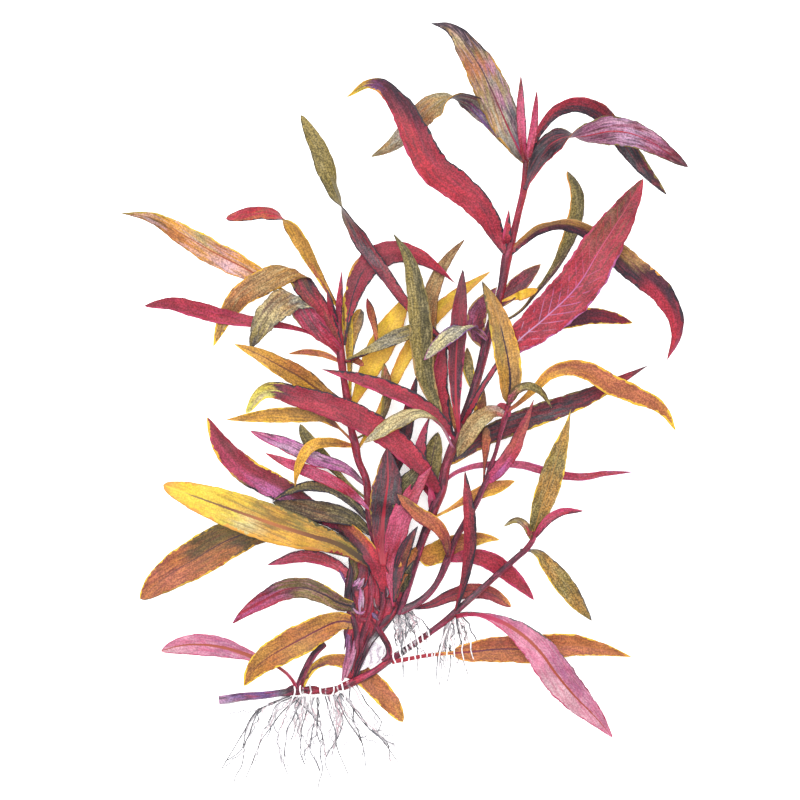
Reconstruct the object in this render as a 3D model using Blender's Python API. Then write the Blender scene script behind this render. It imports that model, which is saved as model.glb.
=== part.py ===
"""Alternanthera reineckii with bare roots, laid on a surface with its length along +Y.

The plant is read off a drawing: every path below is a list of drawing coordinates (right, down),
and a height above the surface in millimetres is given beside it. The eye of the drawing is straight
above the plant, so a point that stands higher is drawn a little further from the middle.
"""
import math
from dataclasses import dataclass

import bmesh
import bpy
from mathutils import Vector
from mathutils.bvhtree import BVHTree

MM = 0.001

# Real size of the plant, and where its ends are in the drawing.
PLANT_LENGTH = 254 * MM
DRAWING_TOP = 22
DRAWING_BOTTOM = 790
DRAWING_SIDE = 800
PIXEL = PLANT_LENGTH / (DRAWING_BOTTOM - DRAWING_TOP)
EYE_IN_WIDTHS = 3.75    # how high the eye is, in widths of the drawing
EYE_HEIGHT = EYE_IN_WIDTHS * DRAWING_SIDE * PIXEL
ORIGIN_RIGHT = 402.5
ORIGIN_DOWN = 411.0

# Blades, and the room that pieces keep from each other.
BLADE_THICKNESS = 0.7 * MM
THINNEST_HALF = 0.12 * MM
PETIOLE_SHARE = 0.16
LANCE = (0.46, 1.35, 0.95)
BLADE_CUP = 0.16
GAP = 0.3 * MM
LAY_CLEARANCE = 0.75 * MM
LAY_REACH = 22 * MM
LAY_ROUNDS = 4
UNDERSIDE_STEPS = 4
BASE_REACH = 7 * MM
LATEST_START = 0.3
START_STEP = 0.005
USUAL_STEM_HEIGHT = 12 * MM
CREASE_RADIUS = 1.7 * MM
STATIONS = (0.0, 0.07, 0.18, 0.31, 0.45, 0.59, 0.73, 0.87, 1.0)
SMALL_STATIONS = (0.0, 0.12, 0.29, 0.48, 0.67, 0.85, 1.0)
AXIS_STEPS = 160
STEM_SIDES = 8
COLLAR_SIDES = 6
ROOT_SIDES = 4
FLAT_FOOT_SHARE = 0.12

CRIMSON = (0.42, 0.035, 0.07)
MAGENTA = (0.50, 0.06, 0.17)
PLUM = (0.10, 0.025, 0.05)
MAUVE = (0.45, 0.14, 0.32)
GOLD = (0.65, 0.31, 0.04)
YELLOW = (0.90, 0.52, 0.04)
OLIVE = (0.17, 0.14, 0.04)
TAN = (0.42, 0.23, 0.08)
RUST = (0.48, 0.15, 0.05)
PINK = (0.68, 0.28, 0.38)
GREY = (0.30, 0.28, 0.24)
LILAC = (0.42, 0.18, 0.34)
ROOT_WHITE = (0.62, 0.60, 0.55)
BLADE_ROUGHNESS = 0.55
STEM_ROUGHNESS = 0.45


def spot(right, down, height):
    """A drawing coordinate at a height above the surface, in metres."""
    shrink = 1 - height / EYE_HEIGHT
    middle = DRAWING_SIDE / 2
    x = (right - middle) * shrink - (ORIGIN_RIGHT - middle)
    y = -(down - middle) * shrink + (ORIGIN_DOWN - middle)
    return Vector((x * PIXEL, y * PIXEL, height))


def value_at(knots, values, place):
    """A smooth curve through values (numbers or vectors) that stand at the rising knots."""
    last = len(knots) - 1
    index = 0
    while index < last - 1 and place > knots[index + 1]:
        index += 1
    span = knots[index + 1] - knots[index]
    part = (place - knots[index]) / span

    def slope(k):
        low, high = max(k - 1, 0), min(k + 1, last)
        return (values[high] - values[low]) / (knots[high] - knots[low])

    start, end = values[index], values[index + 1]
    square, cube = part ** 2, part ** 3
    return (
        start * (2 * cube - 3 * square + 1)
        + slope(index) * ((cube - 2 * square + part) * span)
        + end * (3 * square - 2 * cube)
        + slope(index + 1) * ((cube - square) * span)
    )


def even_knots(values):
    return [index / (len(values) - 1) for index in range(len(values))]


def chord_knots(points):
    """Where each point stands along its path, from 0 to 1."""
    lengths = [0.0]
    for before, after in zip(points, points[1:]):
        lengths.append(lengths[-1] + (after - before).length)
    return [length / lengths[-1] for length in lengths]


@dataclass
class Stem:
    name: str
    path: list      # (right, down, height in mm, radius in mm)
    colour: tuple

    def rings(self, count=0):
        """Centres and radii along the stem."""
        points = [spot(right, down, height * MM) for right, down, height, _ in self.path]
        knots = chord_knots(points)
        radii = [row[3] * MM for row in self.path]
        count = count or max(6, 2 * len(self.path) - 3)
        return [
            (value_at(knots, points, i / count), value_at(knots, radii, i / count))
            for i in range(count + 1)
        ]


@dataclass
class Leaf:
    name: str
    stem: str
    path: list      # (right, down) from the stem to the tip
    width: float    # mm, across the widest part of the blade
    heights: tuple  # mm above the surface, evenly along the leaf after its base
    colour: tuple
    side: int = 0   # 1 on the front of its stem, -1 behind it, 0 beside it
    roll: tuple = (0, 0)
    crease: int = 0   # the path point where the blade is folded over, if it is
    fused: bool = False
    shape: tuple = LANCE    # where the blade is widest, and how it tapers to its base and its tip
    stalk: float = 0.0      # share of the leaf that is bare stalk

    def stations(self):
        return SMALL_STATIONS if self.fused else STATIONS


def close_mesh(name, rings, pointed):
    """A closed body through rings of points. If pointed, the last ring shrinks to its middle."""
    form = bmesh.new()
    loops = [[form.verts.new(point) for point in ring] for ring in rings]
    if pointed:
        tip = form.verts.new(sum(rings[-1], Vector()) / len(rings[-1]))
        for vert in loops[-1]:
            form.verts.remove(vert)
        loops.pop()
    for lower, upper in zip(loops, loops[1:]):
        count = len(lower)
        for i in range(count):
            j = (i + 1) % count
            form.faces.new((lower[i], lower[j], upper[j], upper[i]))
    form.faces.new(loops[0])
    if pointed:
        count = len(loops[-1])
        for i in range(count):
            form.faces.new((loops[-1][i], loops[-1][(i + 1) % count], tip))
    else:
        form.faces.new(loops[-1])
    bmesh.ops.triangulate(form, faces=form.faces[:])
    bmesh.ops.recalc_face_normals(form, faces=form.faces[:])
    if form.calc_volume(signed=True) < 0:
        bmesh.ops.reverse_faces(form, faces=form.faces[:])
    mesh = bpy.data.meshes.new(name)
    form.to_mesh(mesh)
    form.free()
    return mesh


def round_ring(centre, along, radius, sides, flat_foot=False):
    """A ring of points across a stem. A flat foot keeps two points level at the bottom."""
    across = along.cross(Vector((0, 0, 1))).normalized()
    up = across.cross(along).normalized()
    first = math.pi / 2 + math.pi / sides
    ring = []
    for i in range(sides):
        angle = first + 2 * math.pi * i / sides
        spoke = across * math.cos(angle) + up * math.sin(angle)
        ring.append(centre + spoke * radius)
    if flat_foot:
        for point in ring:
            if point.z < radius * FLAT_FOOT_SHARE:
                point.z = 0.0
    return ring


def tube(name, rings, sides, flat_foot=False, pointed=False):
    """A round closed body through (centre, radius) rings."""
    loops = []
    for index, (centre, radius) in enumerate(rings):
        before = rings[max(index - 1, 0)][0]
        after = rings[min(index + 1, len(rings) - 1)][0]
        loops.append(round_ring(centre, after - before, radius, sides, flat_foot))
    return close_mesh(name, loops, pointed)


def stem_near(stem, point):
    """A stem's height and radius where it passes nearest to a point from above, and how far off."""
    best = min(
        stem.rings(AXIS_STEPS),
        key=lambda ring: (ring[0].x - point.x) ** 2 + (ring[0].y - point.y) ** 2,
    )
    return best[0].z, best[1], math.hypot(best[0].x - point.x, best[0].y - point.y)


def blade_share(leaf, place):
    """Width of a leaf at a place along it, as a share of its widest part."""
    widest, base_taper, tip_taper = leaf.shape
    bare = PETIOLE_SHARE * (1 - place)
    inside = (place - leaf.stalk) / (1 - leaf.stalk)
    if not 0 < inside < 1:
        return bare
    shifted = inside ** (math.log(0.5) / math.log(widest))
    swell = math.sin(math.pi * shifted) ** (base_taper if shifted < 0.5 else tip_taper)
    return swell * (1 - bare) + bare


def unfold(points, crease):
    """Mirror the part of a path after its crease, so that the blade can be swept flat and folded.

    The round of the fold takes up some blade, so the mirrored part starts that much further on.
    """
    taken_up = math.pi * CREASE_RADIUS
    fold = points[crease]
    arrive = (fold - points[crease - 1]).normalized()
    leave = (points[crease + 1] - fold).normalized()
    line = (arrive + leave).normalized()
    across = Vector((-line.y, line.x, 0))
    if across.dot(arrive) < 0:
        across = -across
    flat = list(points[:crease + 1])
    for point in points[crease + 1:]:
        reach = (point - fold).dot(across)
        flat.append(point + (taken_up - 2 * reach) * across)
    return flat, fold, across


def folded(point, level, fold, across):
    """Carry a point of a flat blade round the crease. Level is the blade's height there."""
    reach = (point - fold).dot(across)
    if reach <= 0:
        return point
    angle = min(reach / CREASE_RADIUS, math.pi)
    inner = CREASE_RADIUS - (point.z - level)
    beyond = max(reach - math.pi * CREASE_RADIUS, 0.0)
    new_reach = inner * math.sin(angle) - beyond
    moved = point + across * (new_reach - reach)
    moved.z = level + CREASE_RADIUS - inner * math.cos(angle)
    return moved


def leaf_heights(leaf, stems):
    """Height of the blade at each station, before it is laid over what is behind it."""
    first = spot(*leaf.path[0], USUAL_STEM_HEIGHT)
    stem_height, stem_radius, _ = stem_near(stems[leaf.stem], first)
    room = stem_radius + GAP + BLADE_THICKNESS / 2
    base = stem_height if leaf.fused else stem_height + leaf.side * room
    values = [base] + [height * MM for height in leaf.heights]
    return [value_at(even_knots(values), values, place) for place in leaf.stations()]


def clear_start(leaf, stem, knots, flat):
    """Where along its path a leaf beside its stem leaves the stem's skin."""
    start = 0.0
    while start < LATEST_START:
        _, radius, distance = stem_near(stem, value_at(knots, flat, start))
        half = leaf.width * MM * (PETIOLE_SHARE + 0.5 * start) / 2
        if distance > radius + GAP + half:
            break
        start += START_STEP
    return start


def leaf_rings(leaf, stems, heights):
    """Four points across the blade at each station: left edge, ridge, right edge, keel."""
    flat = [spot(right, down, heights[0]) for right, down in leaf.path]
    for point in flat:
        point.z = 0
    if leaf.crease:
        flat, fold, across_fold = unfold(flat, leaf.crease)
    knots = chord_knots(flat)
    start = 0.0
    if leaf.side == 0 and not leaf.fused:
        start = clear_start(leaf, stems[leaf.stem], knots, flat)
    places = [start + (1 - start) * place for place in leaf.stations()]
    centres = []
    for place, height in zip(places, heights):
        plan = value_at(knots, flat, place)
        shrink = (1 - height / EYE_HEIGHT) / (1 - heights[0] / EYE_HEIGHT)
        centres.append(Vector((plan.x * shrink, plan.y * shrink, height)))
    rings = []
    for index, (place, centre) in enumerate(zip(leaf.stations(), centres)):
        before = centres[max(index - 1, 0)]
        after = centres[min(index + 1, len(centres) - 1)]
        along = (after - before).normalized()
        across = along.cross(Vector((0, 0, 1))).normalized()
        up = across.cross(along)
        turn = math.radians(value_at(even_knots(leaf.roll), leaf.roll, place))
        side = across * math.cos(turn) + up * math.sin(turn)
        face = up * math.cos(turn) - across * math.sin(turn)
        half = leaf.width * MM * blade_share(leaf, place) / 2
        thick = min(BLADE_THICKNESS / 2, max(half, THINNEST_HALF))
        ring = [
            centre - side * half + face * half * BLADE_CUP,
            centre + face * thick,
            centre + side * half + face * half * BLADE_CUP,
            centre - face * thick,
        ]
        lowest = min(point.z for point in ring)
        if lowest < GAP:
            for point in ring:
                point.z += GAP - lowest
        if leaf.crease:
            ring = [folded(point, centre.z, fold, across_fold) for point in ring]
        rings.append(ring)
    return rings


def ring_samples(rings):
    """Points on the underside of a blade, each with its place counted in stations."""
    samples = []
    for index in range(len(rings) - 1):
        for step in range(UNDERSIDE_STEPS):
            part = step / UNDERSIDE_STEPS
            points = [a.lerp(b, part) for a, b in zip(rings[index], rings[index + 1])]
            left, ridge, right, keel = points
            for point in (left, left.lerp(keel, 0.5), keel, keel.lerp(right, 0.5), right, ridge):
                samples.append((index + part, point))
    samples.append((len(rings) - 1.0, rings[-1][3]))
    return samples


def lay(leaf, stems, laid):
    """Raise the blade where it crosses what lies behind it, as a leaf rests on other leaves."""
    heights = leaf_heights(leaf, stems)
    for _ in range(LAY_ROUNDS):
        rings = leaf_rings(leaf, stems, heights)
        places = [0.0]
        for before, after in zip(rings, rings[1:]):
            places.append(places[-1] + (after[3] - before[3]).length)
        needs = []
        for station, point in ring_samples(rings):
            index = min(int(station), len(places) - 2)
            place = places[index] + (places[index + 1] - places[index]) * (station - index)
            above = Vector((point.x, point.y, EYE_HEIGHT))
            for name, tree, low, high in laid:
                if not (low.x < point.x < high.x and low.y < point.y < high.y):
                    continue
                if name == leaf.stem and place < BASE_REACH:
                    continue
                hit = tree.ray_cast(above, Vector((0, 0, -1)))[0]
                if hit and hit.z + LAY_CLEARANCE > point.z:
                    needs.append((place, hit.z + LAY_CLEARANCE - point.z))
        if not needs:
            break
        for index in range(len(heights)):
            rise = 0.0
            for place, need in needs:
                share = max(0.0, 1 - abs(place - places[index]) / LAY_REACH)
                rise = max(rise, need * math.sin(share * math.pi / 2))
            ease = 1.0 if leaf.side > 0 else min(1.0, places[index] / BASE_REACH)
            heights[index] += rise * (ease if index else 0.0)
    return leaf_rings(leaf, stems, heights)


def tree_of(mesh):
    points = [vert.co.copy() for vert in mesh.vertices]
    tree = BVHTree.FromPolygons(points, [list(face.vertices) for face in mesh.polygons])
    low = Vector(min(point[axis] for point in points) for axis in range(3))
    high = Vector(max(point[axis] for point in points) for axis in range(3))
    return tree, low, high


def make_object(name, mesh, colour, roughness=BLADE_ROUGHNESS):
    material = bpy.data.materials.new(name + "_finish")
    material.use_nodes = True
    shader = material.node_tree.nodes["Principled BSDF"]
    shader.inputs["Base Color"].default_value = (*colour, 1)
    shader.inputs["Roughness"].default_value = roughness
    mesh.materials.append(material)
    piece = bpy.data.objects.new(name, mesh)
    bpy.context.scene.collection.objects.link(piece)
    return piece


def fuse(piece, cutter_mesh):
    """Unite a small body with the piece that it grows from."""
    part = bpy.data.objects.new(cutter_mesh.name, cutter_mesh)
    bpy.context.scene.collection.objects.link(part)
    part.hide_render = True
    part.display_type = "WIRE"
    union = piece.modifiers.new("fuse_" + cutter_mesh.name, "BOOLEAN")
    union.operation = "UNION"
    union.solver = "EXACT"
    union.object = part


STEMS = [
    Stem("rhizome", [
        (219, 700, 1.4, 1.5), (240, 697, 1.3, 1.4), (264, 695, 1.3, 1.4), (285, 692, 1.4, 1.5),
        (297, 690, 1.5, 1.7), (312, 690, 1.1, 1.2), (328, 691, 1.0, 1.1), (341, 687, 1.5, 1.2),
        (353, 682, 2.6, 1.2), (376, 670, 3.0, 1.1), (391, 659, 1.9, 1.1), (402, 652, 1.0, 1.1),
        (418, 641, 1.0, 1.1), (433, 630, 1.0, 1.1), (450, 617, 1.1, 1.3),
    ], CRIMSON),
    Stem("trunk", [
        (350, 676, 4.2, 2.1), (354, 655, 4.6, 2.6), (363, 632, 5.6, 3.7),
        (374, 608, 6.6, 4.8), (383, 590, 7.2, 4.6), (387, 580, 7.4, 3.6),
    ], LILAC),
    Stem("left_stem", [
        (389.5, 575, 7.6, 2.3), (380, 552, 8.2, 1.7), (371, 520, 9.2, 1.6), (368, 500, 9.8, 1.3),
        (366, 480, 10.4, 1.2), (358, 460, 11.0, 1.2), (355, 445, 11.5, 1.4), (351, 428, 12.0, 1.1),
        (348, 405, 12.6, 1.4), (344, 381, 13.2, 1.1), (341, 358, 13.8, 1.4), (339, 335, 14.4, 1.2),
        (338, 308, 15.0, 0.8),
    ], CRIMSON),
    Stem("tall_stem", [
        (403, 606, 6.4, 2.1), (408, 590, 7.2, 1.9), (421, 550, 9.0, 1.6), (429, 525, 10.0, 1.4),
        (441, 490, 11.5, 1.7), (446, 465, 12.5, 1.5), (463, 422, 14.0, 1.7), (472, 395, 15.0, 1.4),
        (480, 368, 15.8, 1.4), (488, 335, 16.6, 1.6), (501, 290, 17.8, 1.3), (507, 256, 18.6, 1.7),
        (513, 235, 19.0, 1.2), (519, 210, 19.5, 1.1), (524, 188, 20.0, 1.2), (526, 160, 20.4, 1.0),
    ], CRIMSON),
    Stem("middle_shoot", [
        (415, 604, 5.6, 1.2), (427, 595, 5.9, 1.1), (436, 584, 6.2, 1.0), (448, 558, 7.6, 1.3),
        (455, 540, 8.6, 1.0), (465, 522, 9.8, 1.0), (474, 507, 10.6, 1.0), (482, 490, 11.6, 1.0),
        (488, 477, 12.4, 1.1), (490, 467, 13.0, 0.7), (495, 454, 13.8, 0.65), (500, 435, 15.0, 0.65),
        (505, 417, 16.2, 1.0), (509, 402, 17.2, 0.8),
    ], CRIMSON),
    Stem("runner_shoot", [
        (455, 612, 2.2, 1.1), (478, 592, 4.6, 1.0), (500, 572, 6.8, 1.0), (517, 557, 7.6, 1.0),
        (527, 548, 8.0, 1.0), (534, 536, 8.6, 0.9), (534, 531, 8.8, 0.7),
    ], CRIMSON),
    Stem("stub_shoot", [
        (299, 682, 2.6, 1.2), (305, 670, 4.2, 1.1), (315, 653, 6.6, 1.1), (324, 644, 8.2, 1.1),
    ], PLUM),
]

# Short branches of the crown, grown together with the trunk.
TRUNK_BRANCHES = [
    [(366, 640, 4.2, 2.0), (380, 626, 4.8, 2.2), (392, 614, 5.4, 2.2), (399, 609, 5.8, 1.9)],
    [(382, 626, 4.6, 1.3), (386, 640, 3.6, 1.1), (389, 650, 2.9, 1.0)],
    [(364, 630, 4.4, 2.0), (359, 613, 4.3, 1.7), (355, 597, 4.5, 1.4), (352, 582, 4.8, 1.0)],
]

BACK_LEAVES = [
    Leaf("yellow_leaf_behind_left", "left_stem",
         [(349, 412), (362, 385), (378, 352), (392, 325), (407, 298)],
         8.6, (5, 3, 2), YELLOW, side=-1, shape=(0.6, 1.0, 0.7)),
    Leaf("yellow_leaf_behind_middle", "left_stem",
         [(356, 452), (378, 415), (395, 378), (412, 345), (437, 313), (462, 291), (491, 271)],
         5.2, (5, 5, 3, 2), YELLOW, side=-1, shape=(0.65, 0.8, 0.9)),
    Leaf("tan_leaf_behind_left", "left_stem",
         [(349, 412), (351, 380), (352, 345), (354, 318), (347, 287)],
         5.6, (8, 7, 5), TAN, fused=True, shape=(0.75, 0.6, 0.6)),
    Leaf("brown_leaf_behind_middle", "tall_stem",
         [(458, 436), (442, 385), (430, 340), (430, 300), (445, 263), (465, 239)],
         5.4, (9, 8, 7, 5), TAN, side=-1, shape=(0.6, 0.8, 0.8)),
    Leaf("crimson_leaf_behind_middle", "left_stem",
         [(343, 335), (350, 310), (358, 280), (372, 255), (395, 252), (425, 259), (455, 283)],
         8.4, (10, 10, 9), CRIMSON, side=-1, roll=(0, 10, 30), shape=(0.4, 0.7, 1.2)),
    Leaf("twisted_leaf_left", "tall_stem",
         [(478, 378), (440, 338), (405, 302), (382, 270), (358, 235), (341, 205), (326, 172), (314, 135),
          (301, 115)],
         7.0, (13, 14, 14, 10, 8), OLIVE, side=-1, roll=(0, 0, 0, 5, 75, 180, 180), shape=(0.6, 0.6, 0.5)),
    Leaf("grey_leaf_behind_middle", "left_stem",
         [(343, 362), (362, 353), (385, 342), (408, 332), (432, 322)],
         4.8, (13, 13, 12), GREY, fused=True, shape=(0.62, 1.2, 0.7)),
    Leaf("plum_leaf_behind_stem", "tall_stem",
         [(486, 350), (476, 330), (478, 312), (488, 298), (497, 287)],
         6.4, (12, 9, 8), PLUM, fused=True, shape=(0.5, 0.8, 0.8)),
    Leaf("brown_leaf_small", "tall_stem",
         [(474, 392), (469, 372), (467, 347)], 3.6, (14, 14), OLIVE, fused=True, shape=(0.5, 0.8, 0.8)),
    Leaf("red_leaf_small", "tall_stem",
         [(455, 444), (444, 410), (440, 378), (445, 340)],
         5.0, (11, 13, 13), CRIMSON, fused=True, shape=(0.6, 0.8, 0.7)),
    Leaf("brown_leaf_tiny", "left_stem",
         [(354, 440), (378, 425), (387, 400), (386, 380), (384, 363)],
         3.4, (9, 10, 10), TAN, fused=True, shape=(0.75, 0.7, 0.8)),
    Leaf("plum_leaf_narrow", "left_stem",
         [(369, 512), (390, 478), (404, 435), (417, 375)],
         5.0, (7, 7, 8), PLUM, fused=True, shape=(0.55, 0.8, 0.8)),
    Leaf("olive_leaf_behind_big_leaf", "tall_stem",
         [(490, 328), (518, 313), (537, 291), (553, 270), (567, 242), (575, 218), (577, 195), (567, 171)],
         5.4, (13, 10, 6, 3), OLIVE, side=-1, shape=(0.6, 0.7, 0.7)),
    Leaf("plum_leaf_under_big_leaf", "tall_stem",
         [(490, 330), (530, 330), (565, 321), (598, 316), (633, 323)],
         5.4, (14, 8, 3), PLUM, shape=(0.65, 0.6, 0.7)),
    Leaf("plum_leaf_upper", "tall_stem",
         [(496, 308), (507, 297), (520, 283), (541, 264)],
         5.6, (17, 16), PLUM, fused=True, shape=(0.5, 0.8, 0.8)),
    Leaf("yellow_leaf_tiny", "tall_stem",
         [(499, 302), (512, 298), (525, 294), (538, 289)],
         3.2, (15, 13), YELLOW, fused=True, shape=(0.65, 0.8, 0.7)),
    Leaf("crown_leaf_drooping_left", "tall_stem",
         [(524, 162), (505, 138), (488, 116), (462, 99), (438, 103), (415, 122), (396, 142), (371, 157)],
         6.8, (24, 22, 12, 4), TAN, roll=(0, 20, 90, 165, 180), shape=(0.45, 0.8, 0.9)),
    Leaf("crown_leaf_dark_right", "tall_stem",
         [(527, 162), (538, 134), (556, 112), (580, 104), (604, 117), (625, 145), (645, 170), (667, 195)],
         6.2, (18, 12, 5, 1), PLUM, shape=(0.6, 0.8, 0.8)),
    Leaf("plum_leaf_left", "trunk",
         [(377, 592), (350, 545), (318, 515), (285, 492), (243, 468), (219, 442), (207, 417)],
         8.6, (2, 2.5, 4), PLUM, side=-1, shape=(0.7, 0.7, 0.8)),
    Leaf("olive_leaf_left", "left_stem",
         [(372, 535), (352, 519), (330, 513), (300, 508), (272, 502)],
         6.8, (8, 6, 5), OLIVE, side=-1, shape=(0.55, 0.7, 0.8)),
    Leaf("olive_leaf_left_narrow", "left_stem",
         [(370, 522), (352, 502), (335, 490), (315, 486), (295, 489), (272, 501)],
         3.6, (12, 11, 9), OLIVE, fused=True, shape=(0.5, 0.6, 0.9)),
    Leaf("orange_leaf_left", "left_stem",
         [(381, 562), (320, 546), (270, 529), (228, 540), (200, 556), (171, 573), (140, 599)],
         13.0, (4.5, 3, 2, 1), RUST, side=-1, shape=(0.68, 1.2, 0.6)),
    Leaf("gold_leaf_under_crown", "rhizome",
         [(303, 687), (312, 669), (330, 660), (350, 664), (368, 680), (386, 697), (403, 722)],
         7.0, (0.8, 0.8, 0.8, 1.2), GOLD, shape=(0.7, 0.6, 0.6)),
    Leaf("orange_leaf_right", "rhizome",
         [(392, 662), (430, 655), (460, 653), (490, 649), (525, 650), (565, 645), (600, 649), (632, 657)],
         9.2, (5, 5, 4, 2), RUST, shape=(0.42, 0.5, 0.9), stalk=0.26),
    Leaf("brick_leaf_right", "middle_shoot",
         [(415, 608), (430, 605), (452, 595), (472, 591), (492, 594), (511, 607)],
         5.0, (2.2, 1.2, 1.2), RUST, side=-1, shape=(0.6, 0.7, 0.5)),
    Leaf("gold_leaf_low_right", "tall_stem",
         [(420, 560), (440, 551), (462, 543), (482, 538), (500, 540)],
         7.4, (4.2, 3.4, 3.2), GOLD, fused=True, shape=(0.3, 0.5, 0.8)),
    Leaf("crimson_leaf_low_right", "middle_shoot",
         [(448, 560), (470, 556), (490, 561), (508, 573), (522, 586), (534, 600)],
         6.2, (5, 3, 2), CRIMSON, side=-1, shape=(0.65, 0.8, 0.7)),
    Leaf("plum_leaf_long_right", "tall_stem",
         [(446, 464), (485, 437), (540, 414), (585, 398), (620, 380), (649, 365)],
         7.2, (10, 6, 4, 2), PLUM, side=-1, shape=(0.45, 0.6, 1.0)),
    Leaf("pink_leaf_long_right", "tall_stem",
         [(441, 492), (452, 474), (480, 466), (515, 464), (548, 472), (580, 477), (610, 473), (633, 472)],
         2.8, (11, 10, 8, 6), MAGENTA, shape=(0.6, 0.5, 0.7)),
    Leaf("tan_leaf_middle_right", "tall_stem",
         [(433, 518), (452, 508), (470, 497), (488, 490), (515, 481)],
         4.4, (10, 9, 7), TAN, fused=True, shape=(0.68, 1.0, 0.8)),
    Leaf("olive_leaf_middle", "tall_stem",
         [(435, 508), (430, 480), (433, 455), (438, 432)],
         6.4, (9, 8, 8), OLIVE, fused=True, shape=(0.6, 0.8, 0.7)),
]

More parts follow.
